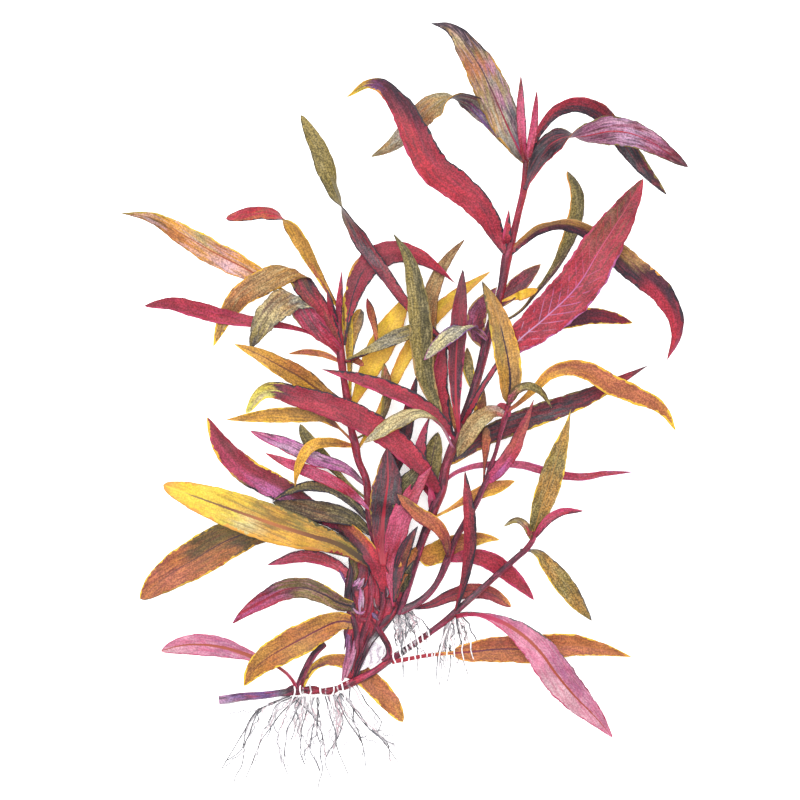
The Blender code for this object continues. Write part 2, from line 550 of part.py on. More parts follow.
FRONT_LEAVES = [
    Leaf("orange_leaf_upper_left", "left_stem",
         [(339, 333), (300, 303), (262, 279), (222, 261), (180, 231), (150, 216), (119, 213)],
         7.0, (18, 17, 13, 8), GOLD, roll=(0, 15, 25, 10), shape=(0.4, 0.7, 0.9), stalk=0.3),
    Leaf("folded_tan_leaf_left", "left_stem",
         [(340, 342), (326, 318), (306, 286), (282, 280), (254, 289), (231, 309), (213, 349)],
         8.2, (19, 20, 17, 14), TAN, side=1, crease=2, shape=(0.55, 0.7, 0.8)),
    Leaf("crimson_leaf_long_left", "left_stem",
         [(341, 358), (320, 338), (285, 326), (240, 320), (205, 312), (175, 304), (144, 306)],
         4.8, (18, 19, 14, 10), CRIMSON, shape=(0.5, 0.7, 1.1)),
    Leaf("folded_grey_leaf_left", "left_stem",
         [(340, 350), (322, 333), (303, 308), (284, 303), (264, 322), (250, 350)],
         9.2, (22, 24, 24, 20), GREY, side=1, crease=2, shape=(0.55, 0.7, 0.8)),
    Leaf("gold_leaf_top_left", "left_stem",
         [(338, 308), (316, 270), (298, 238), (280, 216), (256, 213), (226, 219)],
         5.8, (20, 24, 25, 24), GOLD, side=1, roll=(0, 0, 15, 130, 180), shape=(0.4, 0.9, 0.8)),
    Leaf("bud_leaf_left_1", "left_stem",
         [(338, 316), (340, 290), (342, 270)], 2.8, (18, 20), MAGENTA, fused=True),
    Leaf("bud_leaf_left_2", "left_stem",
         [(338, 320), (333, 300), (327, 289)], 2.4, (19, 20), PLUM, fused=True),
    Leaf("rust_leaf_left_1", "left_stem",
         [(342, 368), (362, 366), (376, 350), (374, 325), (367, 298)],
         2.8, (16, 18, 18), RUST, fused=True, shape=(0.7, 0.6, 0.8)),
    Leaf("rust_leaf_left_2", "left_stem",
         [(341, 362), (325, 355), (305, 352), (288, 354)],
         2.2, (14, 13, 12), RUST, fused=True, shape=(0.5, 0.6, 0.8)),
    Leaf("golden_leaf_left", "left_stem",
         [(348, 407), (325, 395), (305, 380), (280, 366), (258, 354), (234, 344)],
         6.8, (14, 13, 10), GOLD, shape=(0.45, 1.0, 0.85)),
    Leaf("gold_leaf_lower_left", "left_stem",
         [(354, 443), (340, 429), (322, 417), (295, 415), (265, 416), (225, 420)],
         5.0, (12, 10, 7), GOLD, shape=(0.45, 0.9, 0.9), stalk=0.15),
    Leaf("olive_leaf_upright_left", "left_stem",
         [(368, 500), (346, 482), (322, 455), (308, 440), (300, 424)],
         4.4, (9, 11, 11), OLIVE, fused=True, shape=(0.75, 0.7, 0.7)),
    Leaf("mauve_leaf_left", "left_stem",
         [(366, 486), (345, 468), (318, 460), (290, 446), (265, 437), (250, 431)],
         5.0, (13, 12, 9), MAUVE, shape=(0.55, 0.8, 0.7)),
    Leaf("pink_leaf_left", "left_stem",
         [(372, 512), (350, 492), (325, 478), (300, 468), (285, 462), (265, 453)],
         4.2, (14, 14, 11), MAGENTA, shape=(0.55, 0.8, 0.8)),
    Leaf("gold_leaf_curved_left", "left_stem",
         [(353, 446), (335, 443), (315, 444), (303, 456), (297, 472), (295, 487)],
         3.6, (17, 18, 14), GOLD, fused=True, shape=(0.5, 0.6, 0.9)),
    Leaf("red_leaf_middle", "tall_stem",
         [(436, 505), (421, 472), (422, 440), (430, 416)], 4.6, (12, 13, 14), CRIMSON, fused=True),
    Leaf("olive_leaf_tall_middle", "tall_stem",
         [(456, 440), (435, 402), (424, 370), (421, 330), (416, 290), (407, 255), (393, 233)],
         7.4, (15, 20, 22, 22), OLIVE, shape=(0.45, 0.8, 0.85)),
    Leaf("crimson_leaf_upright_middle", "tall_stem",
         [(459, 434), (456, 400), (456, 360), (459, 320), (463, 269)],
         5.6, (19, 22, 22), CRIMSON, side=1, shape=(0.6, 0.8, 0.8)),
    Leaf("crimson_leaf_across_middle", "tall_stem",
         [(456, 440), (436, 415), (405, 396), (370, 382), (345, 375), (321, 369)],
         5.2, (17, 18, 16), CRIMSON, side=1, shape=(0.5, 0.7, 1.0)),
    Leaf("crimson_leaf_across_left", "tall_stem",
         [(440, 492), (410, 455), (372, 425), (330, 406), (295, 396), (268, 391), (252, 398), (246, 413)],
         8.2, (17, 19, 20, 18, 16), CRIMSON, side=1, shape=(0.45, 0.65, 0.65)),
    Leaf("beige_leaf_middle", "tall_stem",
         [(453, 448), (440, 424), (424, 413), (400, 419), (380, 432), (363, 443)],
         5.0, (20, 24, 22), TAN, roll=(0, 150, 180), shape=(0.55, 0.7, 0.8)),
    Leaf("grey_leaf_front_middle", "tall_stem",
         [(487, 340), (478, 330), (464, 327), (448, 336), (436, 347), (424, 360)],
         5.4, (22, 25, 24), GREY, roll=(0, 150, 180), shape=(0.55, 0.7, 0.8)),
    Leaf("brown_leaf_by_stalk", "tall_stem",
         [(466, 418), (478, 414), (484, 388)], 3.6, (16, 17), RUST, fused=True),
    Leaf("crown_leaf_upright", "tall_stem",
         [(524, 160), (510, 132), (496, 100), (482, 70), (463, 42), (447, 26), (430, 23)],
         11.0, (24, 26, 28, 26), MAUVE, side=1, roll=(0, 10, 0), shape=(0.45, 0.85, 0.75)),
    Leaf("bud_leaf_top_1", "tall_stem",
         [(525, 168), (521, 115), (521, 75)], 3.6, (23, 25), MAGENTA, fused=True, shape=(0.55, 0.7, 0.85)),
    Leaf("bud_leaf_top_2", "tall_stem",
         [(526, 168), (534, 125), (537, 90)], 3.6, (22, 23), MAGENTA, fused=True, shape=(0.55, 0.7, 0.85)),
    Leaf("crown_leaf_hooded_right", "tall_stem",
         [(525, 190), (538, 166), (555, 148), (577, 140), (598, 134), (622, 131), (645, 139), (665, 151),
          (688, 167)], 9.2, (26, 27, 22, 16), MAUVE, roll=(0, 10, 150, 180, 180), shape=(0.5, 0.55, 0.75)),
    Leaf("crimson_leaf_arching_left", "tall_stem",
         [(506, 254), (486, 215), (462, 190), (432, 166), (412, 128), (395, 98), (372, 83), (357, 83),
          (347, 97)],
         10.2, (24, 26, 28, 28, 25, 22), CRIMSON, roll=(0, 0, 0, 30, 90), shape=(0.45, 0.9, 0.95)),
    Leaf("bud_leaf_node", "tall_stem",
         [(508, 262), (507, 237), (509, 209)], 2.8, (22, 23), CRIMSON, fused=True),
    Leaf("crimson_leaf_arching_right", "tall_stem",
         [(508, 256), (522, 242), (542, 228), (566, 223), (590, 233), (618, 255), (645, 279), (668, 301),
          (677, 330), (667, 361)],
         8.2, (24, 22, 18, 12, 8), CRIMSON, roll=(0, -60, -10, 0, 0), shape=(0.62, 0.7, 0.6)),
    Leaf("big_crimson_leaf", "tall_stem",
         [(463, 424), (480, 391), (498, 364), (517, 342), (545, 318), (572, 293), (597, 254), (622, 215),
          (643, 179)], 14.0, (24, 30, 32, 28), CRIMSON, side=1, shape=(0.45, 0.5, 0.7), stalk=0.3),
    Leaf("olive_leaf_crown", "tall_stem",
         [(419, 558), (403, 520), (400, 495), (416, 465)],
         4.6, (13, 14, 14), OLIVE, fused=True, shape=(0.6, 0.7, 0.8)),
    Leaf("magenta_leaf_crown", "left_stem",
         [(387, 571), (396, 552), (407, 526), (418, 498), (432, 468)],
         9.0, (11, 12, 13, 13), MAGENTA, fused=True, shape=(0.42, 0.8, 0.9)),
    Leaf("plum_leaf_crown", "left_stem",
         [(376, 550), (381, 520), (386, 490), (388, 450)], 9.0, (13, 15, 16), PLUM, shape=(0.55, 0.8, 0.8)),
    Leaf("plum_leaf_crown_small", "tall_stem",
         [(408, 590), (402, 560), (408, 540), (418, 527)], 4.0, (9, 11, 12), PLUM, fused=True),
    Leaf("orange_leaf_crown_small", "tall_stem",
         [(406, 598), (411, 570), (420, 548)], 3.0, (11, 13), RUST, fused=True),
    Leaf("pink_bud_leaf", "tall_stem",
         [(432, 520), (432, 500), (429, 483)], 2.8, (15, 16), PINK, fused=True),
    Leaf("terracotta_leaf_middle", "middle_shoot",
         [(448, 557), (446, 541), (436, 525), (418, 514), (396, 493)],
         4.8, (15, 17, 17), RUST, side=1, shape=(0.6, 0.7, 0.7)),
    Leaf("plum_leaf_upright_right", "runner_shoot",
         [(455, 612), (462, 590), (469, 555), (470, 525), (465, 471)],
         4.2, (9, 14, 15), PLUM, side=1, shape=(0.6, 0.7, 0.8)),
    Leaf("gold_leaf_stalk", "middle_shoot",
         [(509, 402), (510, 375), (505, 345), (497, 315), (482, 281)],
         8.2, (23, 25, 24), GOLD, side=1, shape=(0.42, 0.8, 0.8)),
    Leaf("gold_leaf_arching_right", "middle_shoot",
         [(506, 412), (524, 399), (541, 383), (560, 369), (585, 370), (612, 385), (642, 398), (662, 409),
          (676, 431)], 6.4, (21, 20, 14, 8), GOLD, shape=(0.66, 0.7, 0.5)),
    Leaf("beige_leaf_stalk", "middle_shoot",
         [(506, 416), (496, 411), (482, 417), (470, 431), (457, 457)],
         6.0, (20, 22, 20), TAN, fused=True, shape=(0.55, 0.6, 0.8)),
    Leaf("olive_curl_leaf_stalk", "middle_shoot",
         [(508, 405), (516, 391), (527, 386), (540, 391), (552, 408)],
         2.8, (24, 25, 24), OLIVE, fused=True, shape=(0.5, 0.6, 0.8)),
    Leaf("pink_leaf_middle_right", "middle_shoot",
         [(487, 482), (500, 468), (513, 450), (521, 432), (528, 415), (534, 399)],
         4.8, (17, 18, 18), MAGENTA, fused=True, shape=(0.35, 0.6, 1.0)),
    Leaf("rust_leaf_middle", "middle_shoot",
         [(483, 488), (485, 462), (487, 427)], 2.6, (16, 18), RUST, fused=True),
    Leaf("olive_leaf_runner", "runner_shoot",
         [(534, 532), (541, 508), (549, 485), (558, 455), (566, 430), (571, 409)],
         6.4, (14, 16, 17), OLIVE, side=1, shape=(0.45, 0.7, 0.85)),
    Leaf("pink_leaf_runner", "runner_shoot",
         [(532, 541), (548, 520), (562, 512), (584, 511)],
         2.8, (8.4, 8.6), PINK, fused=True, shape=(0.55, 0.6, 0.8)),
    Leaf("curl_leaf_runner", "runner_shoot",
         [(532, 541), (526, 526), (516, 520), (503, 527)],
         2.4, (10, 10), TAN, fused=True, shape=(0.5, 0.6, 0.8)),
    Leaf("olive_leaf_runner_low", "runner_shoot",
         [(524, 550), (538, 555), (551, 569), (564, 583), (577, 600), (592, 621)],
         6.0, (6, 4, 3), OLIVE, shape=(0.5, 0.8, 0.85)),
    Leaf("big_pink_leaf", "runner_shoot",
         [(456, 616), (478, 614), (505, 624), (529, 640), (548, 662), (565, 686), (590, 711), (613, 738)],
         10.6, (11, 13, 8, 3), PINK, side=1, shape=(0.6, 0.7, 0.7)),
    Leaf("pink_leaf_under_yellow", "trunk",
         [(368, 598), (352, 580), (340, 567), (322, 559), (303, 556), (285, 560), (267, 565)],
         4.2, (7, 6, 5), MAGENTA, fused=True, shape=(0.6, 0.8, 0.8)),
    Leaf("big_yellow_leaf", "left_stem",
         [(382, 564), (340, 546), (297, 532), (250, 516), (205, 500), (163, 485)],
         12.4, (17, 18, 14), YELLOW, side=1, shape=(0.5, 1.0, 0.6)),
    Leaf("pale_pink_leaf", "rhizome",
         [(297, 690), (288, 674), (270, 664), (245, 654), (215, 646), (185, 645), (161, 651)],
         7.2, (3, 2, 2), PINK, side=1, shape=(0.62, 1.0, 0.65), stalk=0.2),
    Leaf("crimson_leaf_low_left", "trunk",
         [(366, 608), (342, 604), (325, 595), (305, 588), (284, 590), (266, 599), (248, 610), (232, 624)],
         6.8, (12, 8, 4), MAGENTA, shape=(0.5, 0.7, 0.8)),
    Leaf("gold_leaf_low_left", "trunk",
         [(364, 626), (342, 621), (320, 629), (296, 642), (272, 655), (255, 669), (244, 686)],
         10.0, (10, 9, 4), GOLD, shape=(0.5, 0.85, 0.7)),
]

# Roots: each tuft has a collar along the stem and strands that run out from it, thickest first.
ROOT_TUFTS = {
    "rhizome_roots": {
        "collar": [(288, 700.5, 0.9, 0.6), (315, 699, 0.9, 0.8), (344, 695, 0.9, 0.6)],
        "heights": (0.9, 1.3, 0.8, 0.5),
        "strands": [
            [(290, 700), (262, 708), (240, 738), (222, 768)],
            [(296, 700), (274, 722), (257, 750), (246, 778)],
            [(303, 700), (288, 730), (284, 760), (288, 776)],
            [(310, 699), (303, 728), (300, 752), (305, 765)],
            [(317, 699), (318, 735), (322, 765), (318, 790)],
            [(325, 698), (334, 728), (338, 750), (348, 774)],
            [(333, 697), (350, 722), (362, 745), (366, 768)],
            [(341, 696), (360, 718), (380, 738), (398, 762)],
        ],
    },
    "crown_roots": {
        "collar": [(396, 619, 3.2, 0.6), (402, 618, 3.4, 0.8), (409, 617, 3.2, 0.6)],
        "heights": (3.3, 3.6, 3.3, 0.5),
        "strands": [
            [(398, 619), (395, 630), (395, 640), (397, 646)],
            [(401, 618), (402, 636), (402, 655), (404, 678)],
            [(405, 618), (413, 630), (417, 646), (418, 672)],
            [(408, 617), (424, 622), (431, 640), (432, 656)],
        ],
    },
    "runner_roots": {
        "collar": [(447, 628, 0.9, 0.5), (454.5, 623.5, 0.9, 0.7), (462, 617, 0.9, 0.5)],
        "heights": (0.9, 1.2, 0.8, 0.5),
        "strands": [
            [(448, 627), (440, 645), (437, 664), (436, 686)],
            [(452, 625), (449, 645), (450, 665), (447, 684)],
            [(456, 622), (460, 640), (462, 656), (468, 674)],
            [(461, 618), (472, 630), (478, 645), (488, 660)],
        ],
    },
}
ROOT_BASE_RADIUS = 0.42
ROOT_TIP_RADIUS = 0.16
ROOT_ROUGHNESS = 0.7


def make_roots(name, tuft):
    collar = Stem(name + "_collar", tuft["collar"], ROOT_WHITE)
    body = tube(name, collar.rings(), COLLAR_SIDES)
    piece = make_object(name, body, ROOT_WHITE, ROOT_ROUGHNESS)
    for index, strand in enumerate(tuft["strands"]):
        path = []
        for step, (right, down) in enumerate(strand):
            share = step / (len(strand) - 1)
            radius = ROOT_BASE_RADIUS * (1 - share) + ROOT_TIP_RADIUS * share
            path.append((right, down, tuft["heights"][step], radius))
        row = Stem(f"{name}_strand_{index}", path, ROOT_WHITE)
        fuse(piece, tube(row.name, row.rings(), ROOT_SIDES))


for old in list(bpy.data.objects):
    bpy.data.objects.remove(old)

stems = {stem.name: stem for stem in STEMS}
objects = {}
laid = []
small_leaves = []

for leaf in BACK_LEAVES:
    blade = close_mesh(leaf.name, lay(leaf, stems, laid), pointed=True)
    laid.append((leaf.name, *tree_of(blade)))
    if leaf.fused:
        small_leaves.append((leaf.stem, blade))
    else:
        make_object(leaf.name, blade, leaf.colour)

for stem in STEMS:
    body = tube(stem.name, stem.rings(), STEM_SIDES, flat_foot=stem.name == "rhizome")
    objects[stem.name] = make_object(stem.name, body, stem.colour, STEM_ROUGHNESS)
    laid.append((stem.name, *tree_of(body)))

for index, path in enumerate(TRUNK_BRANCHES):
    branch = Stem(f"trunk_branch_{index}", path, LILAC)
    body = tube(branch.name, branch.rings(), STEM_SIDES)
    laid.append(("trunk", *tree_of(body)))
    fuse(objects["trunk"], body)

for leaf in FRONT_LEAVES:
    blade = close_mesh(leaf.name, lay(leaf, stems, laid), pointed=True)
    laid.append((leaf.name, *tree_of(blade)))
    if leaf.fused:
        small_leaves.append((leaf.stem, blade))
    else:
        make_object(leaf.name, blade, leaf.colour)

for stem_name, blade in small_leaves:
    fuse(objects[stem_name], blade)

for name, tuft in ROOT_TUFTS.items():
    make_roots(name, tuft)
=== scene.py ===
"""A bare-rooted alternanthera laid on a pale table and seen from straight above."""
import math

import bpy
import numpy as np
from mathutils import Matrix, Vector
from mathutils.bvhtree import BVHTree


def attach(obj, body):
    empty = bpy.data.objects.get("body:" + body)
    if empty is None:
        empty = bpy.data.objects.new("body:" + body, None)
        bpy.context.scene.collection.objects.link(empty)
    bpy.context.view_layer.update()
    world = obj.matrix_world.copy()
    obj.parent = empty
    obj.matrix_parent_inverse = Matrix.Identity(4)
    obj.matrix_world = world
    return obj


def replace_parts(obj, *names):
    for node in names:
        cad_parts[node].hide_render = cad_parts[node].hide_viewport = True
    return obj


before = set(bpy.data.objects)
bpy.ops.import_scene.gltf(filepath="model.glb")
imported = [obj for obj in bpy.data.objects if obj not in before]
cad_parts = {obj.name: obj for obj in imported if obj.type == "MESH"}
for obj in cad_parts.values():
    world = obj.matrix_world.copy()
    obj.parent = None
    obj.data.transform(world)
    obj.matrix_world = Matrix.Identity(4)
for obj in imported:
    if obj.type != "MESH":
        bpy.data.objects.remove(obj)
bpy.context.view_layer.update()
bpy.ops.object.select_all(action="DESELECT")

# The table and the eye
# The plant lies on a table of plain white board. It is placed by the drawing that shows it:
# right and down count in drawing pixels, and the eye is straight above the drawing's middle.
MM = 0.001
PLANT_LENGTH = 254 * MM
DRAWING_TOP, DRAWING_BOTTOM, DRAWING_MIDDLE = 22, 790, 400
PIXEL = PLANT_LENGTH / (DRAWING_BOTTOM - DRAWING_TOP)
EYE_IN_WIDTHS = 3.75
EYE_HEIGHT = EYE_IN_WIDTHS * 2 * DRAWING_MIDDLE * PIXEL
ORIGIN_RIGHT, ORIGIN_DOWN = 402.5, 411.0
SENSOR = 36
TABLE_SIZE = 6.0
TABLE_WHITE = (0.93, 0.93, 0.93, 1)
BOARD_ROUGHNESS, BOARD_SHINE = 0.9, 0.1
BOARD_GLOW = 0.35    # keeps the board as even as paper
ROOM_LIGHT = 1.2
OVERHEAD_PLACE, OVERHEAD_WIDTH, OVERHEAD_WATTS = (-0.10, 0.16, 1.1), 0.8, 18
WINDOW_PITCH, WINDOW_LEAN, WINDOW_SOFTNESS = math.radians(-38), math.radians(-34), math.radians(25)
WINDOW_STRENGTH = 0.95


def spot(right, down, height=0.0):
    """A drawing coordinate at a height above the table, in metres."""
    shrink = 1 - height / EYE_HEIGHT
    x = (right - DRAWING_MIDDLE) * shrink - (ORIGIN_RIGHT - DRAWING_MIDDLE)
    y = -(down - DRAWING_MIDDLE) * shrink + (ORIGIN_DOWN - DRAWING_MIDDLE)
    return Vector((x * PIXEL, y * PIXEL, height))


EYE = spot(DRAWING_MIDDLE, DRAWING_MIDDLE, EYE_HEIGHT)

bpy.ops.object.camera_add(location=EYE, rotation=(0, 0, 0))
camera = bpy.context.object
camera.data.lens = EYE_IN_WIDTHS * SENSOR
camera.data.sensor_width = SENSOR
bpy.context.scene.camera = camera

bpy.ops.mesh.primitive_plane_add(size=TABLE_SIZE)
table = bpy.context.object
table.name = "table"
board = bpy.data.materials.new("white_board")
board.use_nodes = True
board_shader = board.node_tree.nodes["Principled BSDF"]
board_shader.inputs["Base Color"].default_value = TABLE_WHITE
board_shader.inputs["Roughness"].default_value = BOARD_ROUGHNESS
board_shader.inputs["Specular IOR Level"].default_value = BOARD_SHINE
board_shader.inputs["Emission Color"].default_value = TABLE_WHITE
board_shader.inputs["Emission Strength"].default_value = BOARD_GLOW
table.data.materials.append(board)

world = bpy.data.worlds.new("soft_room")
world.use_nodes = True
world.node_tree.nodes["Background"].inputs["Color"].default_value = (1, 1, 1, 1)
world.node_tree.nodes["Background"].inputs["Strength"].default_value = ROOM_LIGHT
bpy.context.scene.world = world
bpy.ops.object.light_add(type="AREA", location=OVERHEAD_PLACE)
overhead = bpy.context.object
overhead.data.shape = "DISK"
overhead.data.size = OVERHEAD_WIDTH
overhead.data.energy = OVERHEAD_WATTS
bpy.ops.object.light_add(type="SUN", rotation=(WINDOW_PITCH, WINDOW_LEAN, 0))
window = bpy.context.object
window.data.energy = WINDOW_STRENGTH
window.data.angle = WINDOW_SOFTNESS
bpy.context.scene.view_settings.view_transform = "Standard"

# Shoots
# Each shoot is one fleshy stem, swollen a little at its joints, with fine ribs along it. The tall
# shoot, the left shoot, the middle shoot and the runner grow from the crown and carry the leaves.
INKS = {
    "crimson": (182, 54, 70), "wine": (150, 42, 60), "scarlet": (196, 46, 58), "magenta": (190, 60, 98),
    "rose": (203, 84, 118), "pink": (218, 136, 165), "blush": (232, 186, 196), "orchid": (194, 104, 166),
    "mauve": (176, 104, 142), "lilac": (200, 158, 192), "violet": (118, 84, 140), "maroon": (122, 52, 62),
    "plum": (100, 52, 68), "damson": (76, 50, 62), "ink": (56, 48, 58), "brown": (124, 82, 58),
    "umber": (102, 82, 56), "brick": (172, 84, 66), "terracotta": (196, 114, 84), "rust": (188, 112, 64),
    "orange": (236, 164, 76), "amber": (236, 174, 62), "gold": (204, 148, 60), "ochre": (186, 134, 66),
    "yellow": (252, 206, 66), "lemon": (240, 216, 84), "lime": (206, 208, 92), "tan": (186, 146, 96),
    "sand": (206, 186, 136), "olive": (122, 108, 60), "moss": (90, 82, 52), "khaki": (150, 130, 72),
    "grey": (156, 150, 132), "ash": (196, 190, 172), "slate": (98, 96, 100), "white": (236, 230, 232),
    "straw": (224, 208, 150), "pewter": (126, 126, 134), "pearl": (214, 208, 214),
}
INK_DEPTH = 0.46    # the room is bright, so the inks are laid on this much darker
SCREEN_GAMMA = 2.2
TISSUE_SHINE = 0.18


def ink(name):
    """The linear colour of a named ink, as a leaf shows it under the room's bright light."""
    return INK_DEPTH * np.array([(part / 255) ** SCREEN_GAMMA for part in INKS[name]])


def ink_stops(words):
    """Places and colours of inks such as "plum crimson@0.4 gold", evenly spread if no place is given."""
    names = words.split()
    places, colours = [], []
    for index, word in enumerate(names):
        name, _, place = word.partition("@")
        even = index / max(len(names) - 1, 1)
        places.append(float(place) if place else even)
        colours.append(ink(name))
    return np.array(places), np.array(colours)


def inks_along(words, along):
    """The colour at each place from 0 to 1."""
    places, colours = ink_stops(words)
    return np.stack([np.interp(along, places, colours[:, part]) for part in range(3)], axis=-1)


def node(tree, kind, inputs=(), **settings):
    """A shader node with its inputs set from values or linked from sockets."""
    made = tree.nodes.new(kind)
    for key, value in settings.items():
        setattr(made, key, value)
    for key, value in dict(inputs).items():
        if isinstance(value, bpy.types.NodeSocket):
            tree.links.new(value, made.inputs[key])
        else:
            made.inputs[key].default_value = value
    return made


def maths(tree, operation, first, second=0.0):
    """The result of a sum, a product or the like."""
    return node(tree, "ShaderNodeMath", {0: first, 1: second}, operation=operation).outputs[0]


def ease(tree, value, low, high):
    """A soft step from 0 at low to 1 at high."""
    step = node(tree, "ShaderNodeMapRange", {0: value, 1: low, 2: high}, interpolation_type="SMOOTHSTEP")
    return step.outputs[0]


def blend(tree, share, first, second, kind="MIX"):
    """Two colours mixed by a share."""
    mixed = node(tree, "ShaderNodeMix", {0: share, 6: first, 7: second}, data_type="RGBA", blend_type=kind)
    return mixed.outputs[2]


def attribute(tree, name):
    """A node that reads what paint or note kept under a name."""
    return node(tree, "ShaderNodeAttribute", attribute_name=name)


def parts_of(tree, name):
    """The three numbers of a vector attribute."""
    return node(tree, "ShaderNodeSeparateXYZ", {0: attribute(tree, name).outputs["Vector"]}).outputs


def noise(tree, vector, scale, detail=2.0):
    """Soft noise, from 0 to 1."""
    texture = node(tree, "ShaderNodeTexNoise", {"Vector": vector, "Scale": scale, "Detail": detail})
    return texture.outputs["Fac"]


def tone_of(tree, share, dark, pale):
    """A grey between two levels, to lay over a colour."""
    return blend(tree, share, (dark, dark, dark, 1), (pale, pale, pale, 1))


def grain_of(tree, speckles_per_mm):
    """Fine speckle in the piece's own space."""
    own = node(tree, "ShaderNodeTexCoord").outputs["Object"]
    return noise(tree, own, speckles_per_mm / MM, 3.0)


def new_finish(name, roughness):
    """A material with a Principled shader, and its tree."""
    finish = bpy.data.materials.new(name)
    finish.use_nodes = True
    shader = finish.node_tree.nodes["Principled BSDF"]
    shader.inputs["Roughness"].default_value = roughness
    shader.inputs["Specular IOR Level"].default_value = TISSUE_SHINE
    return finish, finish.node_tree, shader


def set_relief(tree, shader, height, depth):
    """Bump of a depth in metres."""
    bump = node(tree, "ShaderNodeBump", {"Height": height, "Distance": depth, "Strength": 1.0})
    tree.links.new(bump.outputs["Normal"], shader.inputs["Normal"])


RIBS = 7
RIB_DEPTH = 0.07    # a share of the radius
RING_POINTS = 21
STEM_STEPS = 7
PATH_STEPS = 240
# The light whose lit and shaded sides are painted on the stems, as painted light and shade.
SHADE_FROM = Vector((-0.75, 0.35, 0.55)).normalized()
SHADE_SHIFT = 0.03
SHADE_SHARPNESS = 5
STROKE_PITCH = 0.16    # how fast a streak changes along a stem, beside around it
STROKE_NOISE = 1.5, 3.0    # scale and detail
STROKE_EDGES = 0.46, 0.66    # the noise where a streak sets in, and where it is full
GRAIN_PER_MM = 1.9
SPECK_EDGES = 0.38, 0.64
STEM_TONES = 0.24, 0.76    # greys of the grain
OVERLAY_SHARE = 0.5
STEM_RELIEF = 0.05 * MM
NAME_SHIFT = 7.3    # gives each stem its own streaks, by the length of its name


def flow(knots, values, place):
    """A smooth curve through values that stand at the rising knots."""
    last = len(knots) - 1
    index = 0
    while index < last - 1 and place > knots[index + 1]:
        index += 1
    span = knots[index + 1] - knots[index]
    part = (place - knots[index]) / span

    def slope(k):
        low, high = max(k - 1, 0), min(k + 1, last)
        return (values[high] - values[low]) / (knots[high] - knots[low])

    square, cube = part ** 2, part ** 3
    return (
        values[index] * (2 * cube - 3 * square + 1)
        + slope(index) * ((cube - 2 * square + part) * span)
        + values[index + 1] * (3 * square - 2 * cube)
        + slope(index + 1) * ((cube - square) * span)
    )


def chord_knots(points):
    """Where each point stands along its path, from 0 to 1."""
    lengths = [0.0]
    for before, after in zip(points, points[1:]):
        lengths.append(lengths[-1] + (after - before).length)
    return [length / lengths[-1] for length in lengths]


def paint(piece, name, colours):
    """Keep a colour for each vertex under a name."""
    data = np.ones((len(piece.data.vertices), 4), np.float32)
    data[:, :3] = colours
    made = piece.data.attributes.new(name, "FLOAT_COLOR", "POINT")
    made.data.foreach_set("color", data.ravel())


def note(piece, name, first, second, third):
    """Keep three numbers for each vertex under a name."""
    data = np.stack(np.broadcast_arrays(first, second, third), axis=-1).astype(np.float32)
    made = piece.data.attributes.new(name, "FLOAT_VECTOR", "POINT")
    made.data.foreach_set("vector", data.ravel())


def points_of(piece, kind="co"):
    """The place of each vertex, or its normal."""
    data = np.empty(len(piece.data.vertices) * 3, np.float32)
    piece.data.vertices.foreach_get(kind, data)
    return data.reshape(-1, 3).astype(float)


def place_points(piece, points):
    """Move each vertex to its new place."""
    piece.data.vertices.foreach_set("co", np.asarray(points, np.float32).ravel())
    piece.data.update()


def ribbed_ring():
    """The cross-section of a stem, one metre in radius: a circle with shallow ribs."""
    bpy.ops.curve.primitive_bezier_circle_add()
    ring = bpy.context.object
    outline = ring.data
    outline.dimensions = "2D"
    outline.splines.clear()
    spline = outline.splines.new("POLY")
    spline.points.add(RING_POINTS - 1)
    for index, point in enumerate(spline.points):
        angle = 2 * math.pi * index / RING_POINTS
        radius = 1 + RIB_DEPTH * math.cos(RIBS * angle)
        point.co = (radius * math.cos(angle), radius * math.sin(angle), 0, 1)
    spline.use_cyclic_u = True
    return ring


stem_ring = ribbed_ring()


def draw_curve(name, rows, ring, steps=STEM_STEPS):
    """A smooth curve through (point, radius) rows, swept with a ring."""
    bpy.ops.curve.primitive_bezier_curve_add()
    piece = bpy.context.object
    piece.name = name
    piece.location = (0, 0, 0)
    spline = piece.data.splines[0]
    spline.bezier_points.add(len(rows) - 2)
    for point, (centre, radius) in zip(spline.bezier_points, rows):
        point.co = centre
        point.radius = radius
        point.handle_left_type = point.handle_right_type = "AUTO"
    piece.data.twist_mode = "Z_UP"
    piece.data.resolution_u = steps
    piece.data.use_fill_caps = True
    piece.data.bevel_mode = "OBJECT"
    piece.data.bevel_object = ring
    return piece


def to_mesh(piece):
    """The swept curve as a smooth mesh."""
    bpy.ops.object.select_all(action="DESELECT")
    piece.select_set(True)
    bpy.context.view_layer.objects.active = piece
    bpy.ops.object.convert(target="MESH")
    bpy.ops.object.shade_smooth()
    piece.data.name = piece.name
    return piece


